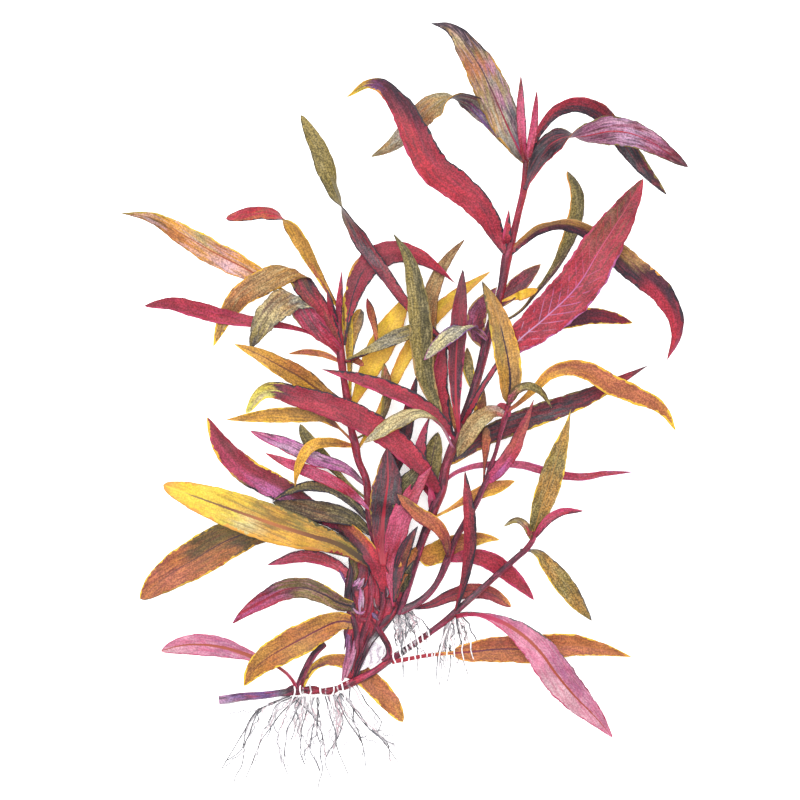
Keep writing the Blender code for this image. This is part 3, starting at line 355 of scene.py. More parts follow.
def stem_finish(name, dark_share, pale_share, roughness, fine=1.0):
    """A stem's skin: its tint, dark and pale streaks, and grain. Fine sets the streaks closer."""
    finish, tree, shader = new_finish(name, roughness)
    colour = attribute(tree, "tint").outputs["Color"]
    run, around, shift = parts_of(tree, "ruler")
    for offset, ink_name, share in ((0, "damson", dark_share), (23, "rose", pale_share)):
        stretched = node(tree, "ShaderNodeCombineXYZ", {
            0: maths(tree, "MULTIPLY", run, STROKE_PITCH), 1: maths(tree, "MULTIPLY", around, fine),
            2: maths(tree, "ADD", shift, offset)}).outputs[0]
        strokes = ease(tree, noise(tree, stretched, *STROKE_NOISE), *STROKE_EDGES)
        colour = blend(tree, maths(tree, "MULTIPLY", strokes, share), colour, (*ink(ink_name), 1))
    grain = grain_of(tree, GRAIN_PER_MM)
    tone = tone_of(tree, ease(tree, grain, *SPECK_EDGES), *STEM_TONES)
    tree.links.new(blend(tree, OVERLAY_SHARE, colour, tone, "OVERLAY"), shader.inputs["Base Color"])
    set_relief(tree, shader, maths(tree, "ADD", strokes, grain), STEM_RELIEF)
    return finish


stem_crimson = stem_finish("stem_crimson", 0.75, 0.4, 0.5)


def stem(name, route, light, dark, marks=(), steps=STEM_STEPS):
    """A stem along (right, down, height mm, radius mm) rows. Light inks are painted on its lit side and dark
    inks on its shaded side: painted light and shade.
    """
    rows = [(spot(right, down, height * MM), radius * MM) for right, down, height, radius in route]
    piece = to_mesh(draw_curve(name, rows, stem_ring, steps=steps))
    points, normals = points_of(piece), points_of(piece, "normal")
    path = np.array([tuple(centre) for centre, _ in rows])
    knots = np.array(chord_knots([centre for centre, _ in rows]))
    span = np.linalg.norm(np.diff(path, axis=0), axis=1).sum()
    fine = np.linspace(0, 1, PATH_STEPS)
    line = np.stack([np.interp(fine, knots, path[:, part]) for part in range(3)], axis=-1)
    nearest = np.array([np.argmin(((line - point) ** 2).sum(1)) for point in points])
    along = fine[nearest]
    # Painted light and shade: each vertex takes the light inks as its normal faces SHADE_FROM, and the dark
    # inks as it faces away.
    facing = normals @ np.array(SHADE_FROM)
    share = 1 / (1 + np.exp(-(facing + SHADE_SHIFT) * SHADE_SHARPNESS))
    tint = inks_along(dark, along) * (1 - share[:, None]) + inks_along(light, along) * share[:, None]
    for start, end, words in marks:
        inside = (along >= start) & (along <= end)
        tint[inside] = inks_along(words, (along[inside] - start) / (end - start))
    paint(piece, "tint", tint)
    away = points - line[nearest]
    across = np.stack([-np.gradient(line[:, 1]), np.gradient(line[:, 0])], axis=-1)[nearest]
    across /= np.linalg.norm(across, axis=1)[:, None]
    aside = (away[:, :2] * across).sum(1)
    note(piece, "ruler", along * span / MM, np.arctan2(away[:, 2], aside), len(name) * NAME_SHIFT)
    piece.data.materials.append(stem_crimson)
    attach(piece, "root")
    return piece


# Each row is right, down, height in mm and radius in mm.
STEMS = {
    "left_stem": [
        (389.5, 575, 7.6, 2.3), (380, 552, 8.2, 1.7), (371, 520, 9.2, 1.6), (368, 500, 9.8, 1.3),
        (366, 480, 10.4, 1.2), (358, 460, 11.0, 1.2), (355, 445, 11.5, 1.4), (351, 428, 12.0, 1.1),
        (348, 405, 12.6, 1.4), (344, 381, 13.2, 1.1), (341, 358, 13.8, 1.4), (339, 335, 14.4, 1.2),
        (338, 308, 15.0, 0.8),
    ],
    "tall_stem": [
        (398, 614, 6.0, 1.0), (403, 600, 6.4, 1.3), (409, 581, 7.2, 1.35), (415, 562, 8.2, 1.3),
        (421, 543, 9.2, 1.3), (427, 527, 10.0, 1.5), (434, 508, 10.8, 1.6), (441, 490, 11.5, 1.7),
        (446, 465, 12.5, 1.5), (463, 422, 14.0, 1.7), (472, 395, 15.0, 1.4), (480, 368, 15.8, 1.4),
        (488, 335, 16.6, 1.6), (501, 290, 17.8, 1.3), (507, 256, 18.6, 1.7), (513, 235, 19.0, 1.2),
        (519, 210, 19.5, 1.1), (524, 188, 20.0, 1.2), (526, 160, 20.4, 1.0),
    ],
    "middle_shoot": [
        (400, 611, 5.6, 1.4), (415, 604, 5.6, 1.2), (427, 595, 5.9, 1.1), (436, 584, 6.2, 1.0),
        (448, 558, 7.6, 1.3), (455, 540, 8.6, 1.0), (465, 522, 9.8, 1.0), (474, 507, 10.6, 1.0),
        (482, 490, 11.6, 1.0), (488, 477, 12.4, 1.1), (490, 467, 13.0, 0.7), (495, 454, 13.8, 0.65),
        (500, 435, 15.0, 0.65), (505, 417, 16.2, 1.0), (509, 402, 17.2, 0.8),
    ],
    "runner_shoot": [
        (446, 620, 1.5, 1.0), (455, 612, 2.2, 1.1), (478, 592, 4.6, 1.0), (500, 572, 6.8, 1.0),
        (517, 557, 7.6, 1.0), (527, 548, 8.0, 1.0), (534, 536, 8.6, 0.9), (534, 531, 8.8, 0.7),
    ],
}
# Each shoot's inks for its lit side, then for its shaded side: painted light and shade.
SHOOT_INKS = {
    "left_stem": ("crimson scarlet crimson crimson crimson", "wine maroon wine wine wine"),
    "tall_stem": ("rose magenta scarlet crimson rust crimson crimson scarlet scarlet rust",
                  "damson ink damson maroon ink damson damson wine wine"),
    "middle_shoot": ("rose magenta crimson rose magenta rose", "slate damson damson plum wine"),
    "runner_shoot": ("crimson wine crimson wine magenta rose", "plum slate damson damson wine"),
}
for shoot, (light, dark) in SHOOT_INKS.items():
    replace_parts(stem(shoot, STEMS[shoot], light, dark), shoot)

# Rhizome and stub
# The rhizome creeps along the ground: a jointed crimson runner with pale scars between its joints,
# cut off at its violet left end. A short dark shoot was broken off near that end.
STEMS["rhizome"] = [
    (219, 700, 1.4, 1.4), (228, 699, 1.4, 1.5), (240, 697, 1.3, 1.4), (264, 695, 1.3, 1.2),
    (279, 693, 1.3, 1.1), (287, 692, 1.4, 1.3), (293, 690, 1.6, 1.7), (299, 690, 1.5, 1.6),
    (304, 690, 1.2, 1.0), (309, 690, 1.3, 1.4), (315, 690, 1.3, 1.4), (321, 691, 1.0, 0.9),
    (327, 691, 1.2, 1.2), (333, 690, 1.2, 1.2), (338, 688, 1.2, 0.9), (344, 686, 1.8, 1.3),
    (353, 682, 2.4, 1.3), (376, 670, 3.0, 1.1), (391, 659, 1.9, 1.1), (402, 652, 1.1, 1.1),
    (418, 641, 1.0, 1.0), (433, 630, 1.0, 1.0), (450, 617, 1.1, 1.2), (456, 611, 1.6, 1.0),
]
STEMS["stub_shoot"] = [(298, 688, 2.0, 1.2), (305, 670, 4.2, 1.1), (315, 653, 6.6, 1.1), (324, 644, 8.2, 1.1)]
# Where each scar starts and ends along the rhizome, and its ink.
SCARS = [
    (0.316, 0.323, "white"), (0.336, 0.341, "ink"), (0.388, 0.396, "white"), (0.41, 0.414, "pearl"),
    (0.452, 0.461, "white"), (0.474, 0.478, "ink"), (0.5, 0.508, "blush"), (0.73, 0.738, "white"),
    (0.738, 0.747, "ink"), (0.747, 0.755, "white"), (0.755, 0.764, "ink"), (0.764, 0.772, "white"),
    (0.772, 0.781, "ink"), (0.781, 0.789, "white"), (0.789, 0.798, "damson"), (0.798, 0.804, "pearl"),
]
# Inks along the rhizome for its lit side, then for its shaded side: painted light and shade. The stub is
# painted the same way.
RHIZOME_LIT_SIDE = (
    "lilac pearl@0.05 lilac@0.12 violet@0.18 lilac@0.22 slate@0.25 wine@0.28 crimson@0.32 scarlet@0.4 "
    "crimson@0.5 wine@0.54 slate@0.57 ink@0.62 slate@0.66 ink@0.72 crimson@0.76 crimson@0.82 "
    "magenta@0.9 crimson"
)
RHIZOME_SHADED_SIDE = (
    "lilac violet@0.06 violet@0.2 slate@0.25 ink@0.27 maroon@0.32 wine@0.5 crimson@0.54 magenta@0.6 "
    "crimson@0.66 magenta@0.7 ink@0.75 maroon@0.8 plum@0.9 wine"
)
RHIZOME_STEPS = 24    # fine enough for its scars
rhizome = stem("rhizome", STEMS["rhizome"], RHIZOME_LIT_SIDE, RHIZOME_SHADED_SIDE, marks=SCARS, steps=RHIZOME_STEPS)
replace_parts(rhizome, "rhizome")
stub = stem("stub_shoot", STEMS["stub_shoot"], "crimson crimson magenta wine", "damson ink ink")
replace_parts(stub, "stub_shoot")

# Crown
# Where the shoots leave the rhizome, their bases are crowded into a thick bundle, with papery
# lilac sheaths on its left side and dark gaps between the strands. The gaps and the bundle's right
# side are painted shade.

# Place down the drawing, left and right edge there, middle height and half thickness in mm.
CROWN_ROWS = (
    (679, 343, 357, 2.6, 0.8), (668, 345, 361, 3.4, 1.2), (655, 347, 366, 4.2, 1.6),
    (643, 347, 371, 4.9, 1.9), (632, 345, 382, 5.4, 2.1), (620, 347, 390, 5.8, 2.3),
    (608, 349, 397, 6.2, 2.4), (596, 347, 401, 6.6, 2.4), (584, 348, 401, 7.0, 2.3),
    (572, 350, 399, 7.4, 2.0), (560, 356, 395, 7.8, 1.6), (551, 366, 390, 8.1, 0.8),
)
# Inks from the foot to the top of the crown, at shares of its half width from left to right. The
# dark inks towards the right edge are painted shade, away from the light, over the bundle's own crimson.
CROWN_INKS = {
    -1.0: "maroon wine@0.2 plum@0.3 violet@0.36 wine@0.42 maroon@0.5 ink@0.56 ink@0.8 moss@0.88 "
          "damson",
    -0.75: "crimson wine@0.25 crimson@0.38 maroon@0.46 wine@0.5 olive@0.54 ink@0.6 ink@0.75 moss@0.8 "
           "wine@0.9 crimson",
    -0.5: "crimson wine@0.2 crimson@0.35 wine@0.45 maroon@0.5 crimson@0.6 crimson@0.76 damson@0.83 "
          "wine@0.92 wine",
    -0.2: "crimson crimson@0.15 crimson@0.35 crimson@0.5 maroon@0.6 crimson@0.7 crimson@0.8 wine@0.9 "
          "crimson",
    0.1: "crimson crimson@0.2 maroon@0.3 crimson@0.45 maroon@0.55 crimson@0.62 wine@0.7 crimson@0.8 "
         "crimson",
    0.35: "damson crimson@0.1 damson@0.2 ink@0.25 maroon@0.35 crimson@0.42 crimson@0.52 wine@0.65 "
          "damson@0.72 crimson@0.8 crimson@0.9 maroon",
    0.6: "ink damson@0.2 ink@0.3 wine@0.4 crimson@0.5 crimson@0.57 damson@0.63 wine@0.75 ink@0.82 "
         "crimson@0.9 damson",
    0.8: "ink slate@0.3 ink@0.42 crimson@0.5 maroon@0.56 crimson@0.62 damson@0.7 ink@0.8 damson@0.9 "
         "ink",
    1.0: "ink pearl@0.35 slate@0.42 pearl@0.48 ink@0.53 crimson@0.58 magenta@0.63 damson@0.75 ink@0.9 "
         "damson",
}
CROWN_TURNS = 96
CROWN_STEPS = 110
CROWN_INK_SPREAD = 0.11    # how far each ink reaches across, beside the half width
CROWN_WELD = 0.02 * MM
CROWN_LENGTH, CROWN_REACH = 42, 4.5    # mm, for its streaks
STRANDS, STRAND_DEPTH = 9, 0.09    # depths are shares of the radius
FINE_STRANDS, FINE_STRAND_DEPTH = 23, 0.05
END_TAPER = 40
crown_downs, crown_lefts, crown_rights, crown_middles, crown_thicks = (
    np.array([float(line[place]) for line in CROWN_ROWS[::-1]]) for place in range(5))


def crown_at(down):
    """Middle, half width, height and half thickness of the crown at a place down the drawing."""
    left, right, middle, thick = (np.interp(down, crown_downs, values) for values in
                                  (crown_lefts, crown_rights, crown_middles, crown_thicks))
    return (left + right) / 2, (right - left) / 2, middle, thick


def apply_modifier(piece, modifier):
    """Apply a modifier of a piece that may not be the active one."""
    bpy.ops.object.select_all(action="DESELECT")
    piece.select_set(True)
    bpy.context.view_layer.objects.active = piece
    bpy.ops.object.modifier_apply(modifier=modifier.name)


bpy.ops.object.select_all(action="DESELECT")
bpy.ops.mesh.primitive_grid_add(x_subdivisions=CROWN_STEPS, y_subdivisions=CROWN_TURNS, size=2)
crown = bpy.context.object
crown.name = crown.data.name = "crown_bundle"
crown_start = points_of(crown)
crown_along = (crown_start[:, 0] + 1) / 2
crown_angle = crown_start[:, 1] * math.pi
crown_down = CROWN_ROWS[0][0] + (CROWN_ROWS[-1][0] - CROWN_ROWS[0][0]) * crown_along
crown_middle, crown_half, crown_level, crown_thick = crown_at(crown_down)
crown_sway = 2.5 * np.sin(crown_along * 6)
fine_sway = 1.3 * np.sin(crown_along * 17)
crown_ridge = (1 + STRAND_DEPTH * np.cos(STRANDS * crown_angle + crown_sway)
               + FINE_STRAND_DEPTH * np.cos(FINE_STRANDS * crown_angle - 9 * crown_along + fine_sway))
crown_ridge *= np.clip(np.minimum(crown_along, 1 - crown_along) * END_TAPER, 0, 1) ** 0.5
crown_fan = np.cos(crown_angle)
crown_points = []
for middle, half, fan, ridge, down, level, thick, angle in zip(
        crown_middle, crown_half, crown_fan, crown_ridge, crown_down, crown_level, crown_thick,
        crown_angle):
    height = (level + thick * math.sin(angle) * ridge) * MM
    crown_points.append(tuple(spot(middle + half * fan * ridge, down, height)))
place_points(crown, crown_points)
crown_wobble = (crown_fan + 0.08 * np.sin(crown_along * 23 + crown_fan * 9)
                + 0.05 * np.sin(crown_along * 57 + crown_fan * 19))
crown_tint = np.zeros((len(crown_along), 3))
crown_weight = np.zeros(len(crown_along))
for fan, words in CROWN_INKS.items():
    near = np.exp(-((crown_wobble - fan) / CROWN_INK_SPREAD) ** 2) + 1e-9
    streaked_along = np.clip(crown_along + 0.025 * np.sin(crown_fan * 31 + crown_along * 40), 0, 1)
    crown_tint += near[:, None] * inks_along(words, streaked_along)
    crown_weight += near
paint(crown, "tint", crown_tint / crown_weight[:, None])
note(crown, "ruler", crown_along * CROWN_LENGTH, crown_fan * CROWN_REACH, 3)
crown_seam = crown.modifiers.new("seam", "WELD")
crown_seam.merge_threshold = CROWN_WELD
apply_modifier(crown, crown_seam)
bpy.ops.object.mode_set(mode="EDIT")
bpy.ops.mesh.select_all(action="SELECT")
bpy.ops.mesh.normals_make_consistent(inside=False)
bpy.ops.object.mode_set(mode="OBJECT")
bpy.ops.object.shade_smooth()
crown.data.materials.append(stem_finish("crown_skin", 0.8, 0.25, 0.5, 2.3))
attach(crown, "root")
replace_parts(crown, "trunk")

# The folds, lines and sheaths are laid on the bundle, sunk into it by a share of their radius.
# The dark lines and the dark strip in the hollow are painted shade in the gaps between the strands.
FOLD_TAPER = 0.25    # radius at each end, beside the middle
FOLD_SINK = 0.6
# Each fold has its route, its lift above the crown in mm, its radius in mm, and light and dark
# inks, painted on its lit and its shaded side as painted light and shade.
CROWN_FOLDS = {
    "crown_fold_scarlet": ([(360, 660), (362, 640), (368, 620), (372, 598), (371, 580), (366, 562)], 0.3, 1.3,
                           "crimson wine scarlet crimson crimson crimson", "maroon damson wine maroon wine"),
    "crown_fold_crimson": ([(371, 636), (379, 618), (383, 600), (380, 580), (375, 560)], 0.4, 1.1,
                           "maroon crimson wine scarlet crimson", "ink maroon damson maroon"),
    "crown_fold_left": ([(351, 676), (355, 655), (357, 634), (354, 619), (350, 610)], 0.3, 1.2,
                        "crimson crimson wine crimson", "damson ink damson"),
    "crown_fold_knee": ([(352, 626), (362, 619), (372, 623), (380, 633)], 0.2, 1.3,
                        "maroon maroon crimson maroon", "plum wine plum"),
    "crown_fold_right": ([(398, 604), (391, 614), (383, 623), (376, 632)], 0.2, 1.3,
                         "crimson scarlet crimson wine", "damson ink damson"),
    "crown_fold_magenta": ([(396, 610), (392, 592), (389, 576), (386, 560)], 0.7, 0.7,
                           "crimson magenta rose magenta", "wine magenta"),
    # painted shade: a dark strip laid in the hollow between strands
    "crown_fold_hollow": ([(352, 613), (348, 600), (350, 585), (352, 570), (349, 558)], 0.3, 1.2,
                          "moss ink damson ink moss", "ink ink ink"),
    # painted shade: the crown_line pieces are dark lines in the gaps between strands
    "crown_line_trunk": ([(356, 676), (361, 664), (367, 652), (374, 640), (381, 634)], 0.5, 0.45,
                         "slate ink ink slate ink", "ink"),
    "crown_line_left": ([(353, 680), (357, 662), (364, 648), (369, 634)], 0.6, 0.35,
                        "damson ink damson", "ink"),
    "crown_line_middle": ([(384, 604), (386, 590), (385, 574)], 0.8, 0.4,
                          "damson ink slate ink", "ink"),
    "crown_line_right": ([(398, 607), (394, 592), (391, 575), (388, 560)], 0.7, 0.55,
                         "damson ink damson", "ink"),
    "crown_line_inner": ([(366, 584), (369, 574), (367, 562)], 0.6, 0.45, "ink damson", "ink"),
    "crown_line_edge": ([(400, 610), (394, 617), (387, 624), (382, 634)], 0.3, 0.4,
                        "ink pearl ink pearl slate", "ink"),
    "crown_scrap_olive": ([(354, 582), (356, 572), (353, 562), (349, 554)], 0.9, 0.9,
                          "olive khaki sand khaki", "moss olive"),
    "crown_sheath_lower": ([(342, 681), (346, 667), (349, 652), (349, 640), (347, 632)], 0.5, 1.2,
                           "blush pink blush pink orchid", "pink mauve violet"),
    "crown_sheath_side": ([(346, 678), (350, 665), (354, 650), (355, 637)], 0.7, 1.0,
                          "blush pearl lilac blush pink", "pink mauve"),
    "crown_sheath_crest": ([(344, 650), (346, 641), (346, 633), (349, 627)], 0.9, 0.45,
                           "violet orchid violet ink", "ink"),
    "crown_sheath_seam": ([(352, 650), (351, 641), (352, 633)], 1.1, 0.35,
                          "violet damson violet", "ink"),
    "crown_sheath_strip": ([(360, 614), (360, 604), (361, 594), (360, 587)], 1.0, 0.7,
                           "pink pearl blush pearl", "lilac orchid"),
    "crown_sheath_strand": ([(363, 608), (363, 599), (363, 590)], 1.1, 0.5,
                            "pearl blush pearl", "lilac"),
    "crown_sheath_foot": ([(353, 608), (357, 612), (362, 613), (365, 611)], 0.9, 0.55,
                          "blush pearl pink blush", "lilac orchid"),
    "crown_sheath_patch": ([(353, 586), (357, 583), (360, 578)], 1.1, 1.1,
                           "blush pearl blush", "orchid lilac"),
    "crown_sheath_tip": ([(358, 589), (361, 584), (364, 578)], 1.3, 0.9,
                         "pearl blush pearl", "orchid lilac"),
    "crown_sheath_nick": ([(362, 588), (365, 585), (367, 580)], 0.9, 0.4, "blush violet blush", "ink"),
    "crown_sheath_edge": ([(339, 570), (343, 576), (346, 585)], 0.2, 0.6,
                          "orchid lilac orchid", "violet"),
    "crown_sheath_arc": ([(374, 598), (375, 606), (380, 612)], 1.0, 0.4, "pearl white pewter", "slate"),
    "crown_sheath_tuft": ([(371, 612), (375, 616), (380, 622)], 0.9, 0.9,
                          "pearl lilac slate pearl", "violet slate"),
    "crown_spot": ([(374, 606), (377, 608), (379, 606)], 1.2, 0.5, "umber brown ink", "ink"),
    "crown_fleck": ([(387, 597), (388, 592), (387, 588)], 1.2, 0.5, "white pearl white", "pewter"),
}
for name, (marks, lift, radius, light, dark) in CROWN_FOLDS.items():
    route = []
    for place, (right, down) in enumerate(marks):
        middle, half, level, thick = crown_at(down)
        aside = min(abs(right - middle) / half, 1.0)
        taper = FOLD_TAPER if place in (0, len(marks) - 1) else 1.0
        height = level + thick * math.sqrt(1 - aside ** 2) + lift - radius * FOLD_SINK
        route.append((right, down, height, radius * taper))
    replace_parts(stem(name, route, light, dark), "trunk")
# The side root's lit and shaded sides are painted light and shade, as on the folds.
SIDE_ROOT = [(376, 626, 7.2, 0.8), (384, 638, 5.4, 1.0), (389, 649, 4.2, 1.0), (388, 656, 3.4, 0.9),
             (383, 661, 3.0, 0.7)]
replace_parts(stem("crown_side_root", SIDE_ROOT, "magenta scarlet crimson wine", "ink ink damson"), "trunk")

# A thin pale skin is stretched between the foot of the crown and its side root.
WEB_CORNERS = ((371, 640), (385, 648), (360, 671), (381, 661))
WEB_HEIGHTS = (4.4, 3.2, 3.4, 2.8)
WEB_THICKNESS = 0.25 * MM
WEB_RIPPLE = 0.18 * MM
WEB_STEPS_ACROSS, WEB_STEPS_DOWN = 14, 24
WEB_BRIGHTNESS = 1.6
bpy.ops.object.select_all(action="DESELECT")
bpy.ops.mesh.primitive_grid_add(x_subdivisions=WEB_STEPS_ACROSS, y_subdivisions=WEB_STEPS_DOWN, size=2)
web = bpy.context.object
web.name = web.data.name = "crown_web"
web_start = points_of(web)
web_aside, web_down = (web_start[:, 0] + 1) / 2, (web_start[:, 1] + 1) / 2
corners = [np.array(spot(right, down, height * MM))
           for (right, down), height in zip(WEB_CORNERS, WEB_HEIGHTS)]
top_edge = corners[0] * (1 - web_aside[:, None]) + corners[1] * web_aside[:, None]
low_edge = corners[2] * (1 - web_aside[:, None]) + corners[3] * web_aside[:, None]
web_points = top_edge * (1 - web_down[:, None]) + low_edge * web_down[:, None]
web_points[:, 2] += WEB_RIPPLE * np.sin(web_aside * 21 + web_down * 5)
place_points(web, web_points)
web_stripes = 0.5 + 0.5 * np.sin(web_aside * 15 + 2.2 * np.sin(web_down * 6))
web_shade = web_stripes * (0.4 + 0.6 * web_down) + 0.2
web_dark = np.clip(1 - web_shade[:, None], 0, 1) ** 2.5
paint(web, "tint", ink("violet") * web_dark + ink("white") * WEB_BRIGHTNESS * (1 - web_dark))
note(web, "ruler", web_down * 12, web_aside * 3, 5)
web_body = web.modifiers.new("thicken", "SOLIDIFY")
web_body.thickness = WEB_THICKNESS
apply_modifier(web, web_body)
web.data.materials.append(stem_finish("crown_paper", 0.12, 0.1, 0.7, 2.3))
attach(web, "root")
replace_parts(web, "trunk")

# Leaves behind the shoots
# A blade is thin and lance-shaped, with a short stalk, a midrib that is grooved above, and a rim
# that waves a little. The oldest leaves are at the back, low over the table: yellow and brown ones
# behind the left and tall shoots, and long plum and orange ones that reach out on both sides.
STATIONS = (0.0, 0.07, 0.18, 0.31, 0.45, 0.59, 0.73, 0.87, 0.985)
PETIOLE_SHARE = 0.16    # the stalk's width beside the blade's
BLADE_CUP = 0.16
BLADE_STEP = 0.7 * MM
BLADE_ROWS = 16
FEWER_ROWS = 6
WIDE_BLADE = 4.5    # mm; narrower ones have fewer rows
FLAT_HALF, OPEN_SPREAD = 0.5, 2.0    # half width in mm where ripples start, and over which they grow
RIM_THICKNESS = 0.28 * MM
RIB_THICKNESS = 0.75 * MM
RIB_REACH = 0.55    # mm to each side
GROOVE_DEPTH, GROOVE_REACH = 0.22, 0.45    # mm
RIPPLE_LENGTH = 11    # mm
VEIN_SPACING = 4.2    # mm
VEIN_SLANT = 1.5
SIDE_BLEND = 14    # how sharply the colours of the two halves meet at the midrib
CREASE_RADIUS = 1.7 * MM
STEM_DIVE = 1.3 * MM
STREAKY = 0.05
LEAF_RELIEF = 0.06 * MM
UNDER_SHADE, UNDER_LIFT = 0.85, 0.02
RIB_CROWDING = 1.2    # sets the points closer together at the midrib
LOWEST = 0.06 * MM
SIDE_STEP = 0.08 * MM
SAME_WALL = SIDE_STEP / 20
FEWEST_COLUMNS = 14
LINE_STEPS = 8
RIPPLE_SHIFT, RIPPLE_OFFSET = 1.7, 1.6    # from leaf to leaf, and from one half to the other
MIDRIB_THINNING = 0.8    # how much thinner the midrib is at the tip
# The skins. Edges are the values where a mark sets in and where it is full.
LEAF_PITCH, BAND_PITCH, FAN_PER_MM = 0.14, 0.10, 0.06
DARK_STROKES, PALE_STROKES = (0, 1.1), (31, 1.5)    # shift in the noise, and closeness
BAND_SHIFT = 57
LEAF_STROKE_NOISE, LEAF_STROKE_EDGES = (1.6, 4.0), (0.44, 0.68)
BAND_NOISE, BAND_EDGES = (1.0, 3.0), (0.47, 0.60)
LEAF_SPECK_EDGES, LEAF_TONES = (0.40, 0.62), (0.20, 0.72)
CLOUD_SCALE, CLOUD_EDGES, CLOUD_TONES = 0.16, (0.35, 0.65), (0.38, 0.60)
VEIN_BREAK_SCALE, VEIN_BREAK_EDGES = 0.45, (0.38, 0.56)
VEIN_EDGES, VEIN_FADE_EDGES = (0.085, 0.02), (0.9, 0.55)
RIB_EDGES, RIB_TAPER = (0.12, -0.08), 1.12
RIM_EDGES, RIM_BREAK_SCALE, RIM_BREAK_EDGES, RIM_SWELL = (0.10, -0.10), 0.5, (0.32, 0.68), 2.0
HALF_EDGES = (-0.1, 0.1)    # keeps the noise of the two rims apart
EDGE_WOBBLE = 0.35
STROKE_RELIEF = 0.6    # beside the grain's
trees = {}


def in_blade(tree, run, aside, seed):
    """A place in a blade's own space, for noise."""
    return node(tree, "ShaderNodeCombineXYZ", {0: run, 1: aside, 2: seed}).outputs[0]


def leaf_finish(name, side, grain_depth, dark_ink, dark_share, pale_ink, pale_share, roughness):
    """A leaf skin. Side is the attribute that holds its tint: upper or under."""
    finish, tree, shader = new_finish(f"{name}_{side}", roughness)
    colour = attribute(tree, side).outputs["Color"]
    along, across, edge = parts_of(tree, "blade")
    run, reach, seed = parts_of(tree, "ruler")
    aside = maths(tree, "ABSOLUTE", reach)
    slant = maths(tree, "SUBTRACT", run, maths(tree, "MULTIPLY", aside, VEIN_SLANT))
    fan = maths(tree, "ADD", reach, maths(tree, "MULTIPLY", run, FAN_PER_MM))
    for (shift, close), ink_name, share in ((DARK_STROKES, dark_ink, dark_share),
                                            (PALE_STROKES, pale_ink, pale_share)):
        stroke_place = in_blade(tree, maths(tree, "MULTIPLY", run, LEAF_PITCH),
                                maths(tree, "MULTIPLY", fan, close), maths(tree, "ADD", seed, shift))
        strokes = ease(tree, noise(tree, stroke_place, *LEAF_STROKE_NOISE), *LEAF_STROKE_EDGES)
        colour = blend(tree, maths(tree, "MULTIPLY", strokes, share), colour, (*ink(ink_name), 1))
    streaked = attribute(tree, "streak").outputs
    band_place = in_blade(tree, maths(tree, "MULTIPLY", run, BAND_PITCH), fan,
                          maths(tree, "ADD", seed, BAND_SHIFT))
    bands = ease(tree, noise(tree, band_place, *BAND_NOISE), *BAND_EDGES)
    colour = blend(tree, maths(tree, "MULTIPLY", bands, streaked["Alpha"]), colour, streaked["Color"])
    grain = grain_of(tree, GRAIN_PER_MM)
    speck = ease(tree, grain, *LEAF_SPECK_EDGES)
    cloud = noise(tree, in_blade(tree, run, reach, seed), CLOUD_SCALE)
    colour = blend(tree, grain_depth, colour, tone_of(tree, speck, *LEAF_TONES), "OVERLAY")
    broad = tone_of(tree, ease(tree, cloud, *CLOUD_EDGES), *CLOUD_TONES)
    colour = blend(tree, OVERLAY_SHARE, colour, broad, "OVERLAY")
    phase = maths(tree, "FRACT", maths(tree, "DIVIDE", slant, VEIN_SPACING))
    near_line = maths(tree, "ABSOLUTE", maths(tree, "SUBTRACT", phase, 0.5))
    patchy = ease(tree, noise(tree, in_blade(tree, run, across, seed), VEIN_BREAK_SCALE), *VEIN_BREAK_EDGES)
    vein_line = maths(tree, "MULTIPLY", ease(tree, near_line, *VEIN_EDGES), patchy)
    veined = attribute(tree, "vein").outputs
    inner = ease(tree, maths(tree, "ABSOLUTE", across), *VEIN_FADE_EDGES)
    fade = maths(tree, "MULTIPLY", inner, vein_line)
    colour = blend(tree, maths(tree, "MULTIPLY", fade, veined["Alpha"]), colour, veined["Color"])
    ribbed = attribute(tree, "rib").outputs
    rib_width = maths(tree, "MULTIPLY", ribbed["Alpha"], maths(tree, "SUBTRACT", RIB_TAPER, along))
    wobble = maths(tree, "MULTIPLY", maths(tree, "SUBTRACT", grain, 0.5), EDGE_WOBBLE)
    rib_edge = maths(tree, "SUBTRACT", maths(tree, "ADD", aside, wobble), rib_width)
    colour = blend(tree, ease(tree, rib_edge, *RIB_EDGES), colour, ribbed["Color"])
    rimmed = attribute(tree, "rim").outputs
    broken = noise(tree, in_blade(tree, run, ease(tree, across, *HALF_EDGES), seed), RIM_BREAK_SCALE)
    uneven = maths(tree, "MULTIPLY", ease(tree, broken, *RIM_BREAK_EDGES), RIM_SWELL)
    rim_width = maths(tree, "MULTIPLY", rimmed["Alpha"], uneven)
    rim_edge = maths(tree, "SUBTRACT", maths(tree, "ADD", edge, wobble), rim_width)
    colour = blend(tree, ease(tree, rim_edge, *RIM_EDGES), colour, rimmed["Color"])
    tree.links.new(colour, shader.inputs["Base Color"])
    raised = maths(tree, "ADD", grain, maths(tree, "MULTIPLY", strokes, STROKE_RELIEF))
    set_relief(tree, shader, raised, LEAF_RELIEF)
    return finish


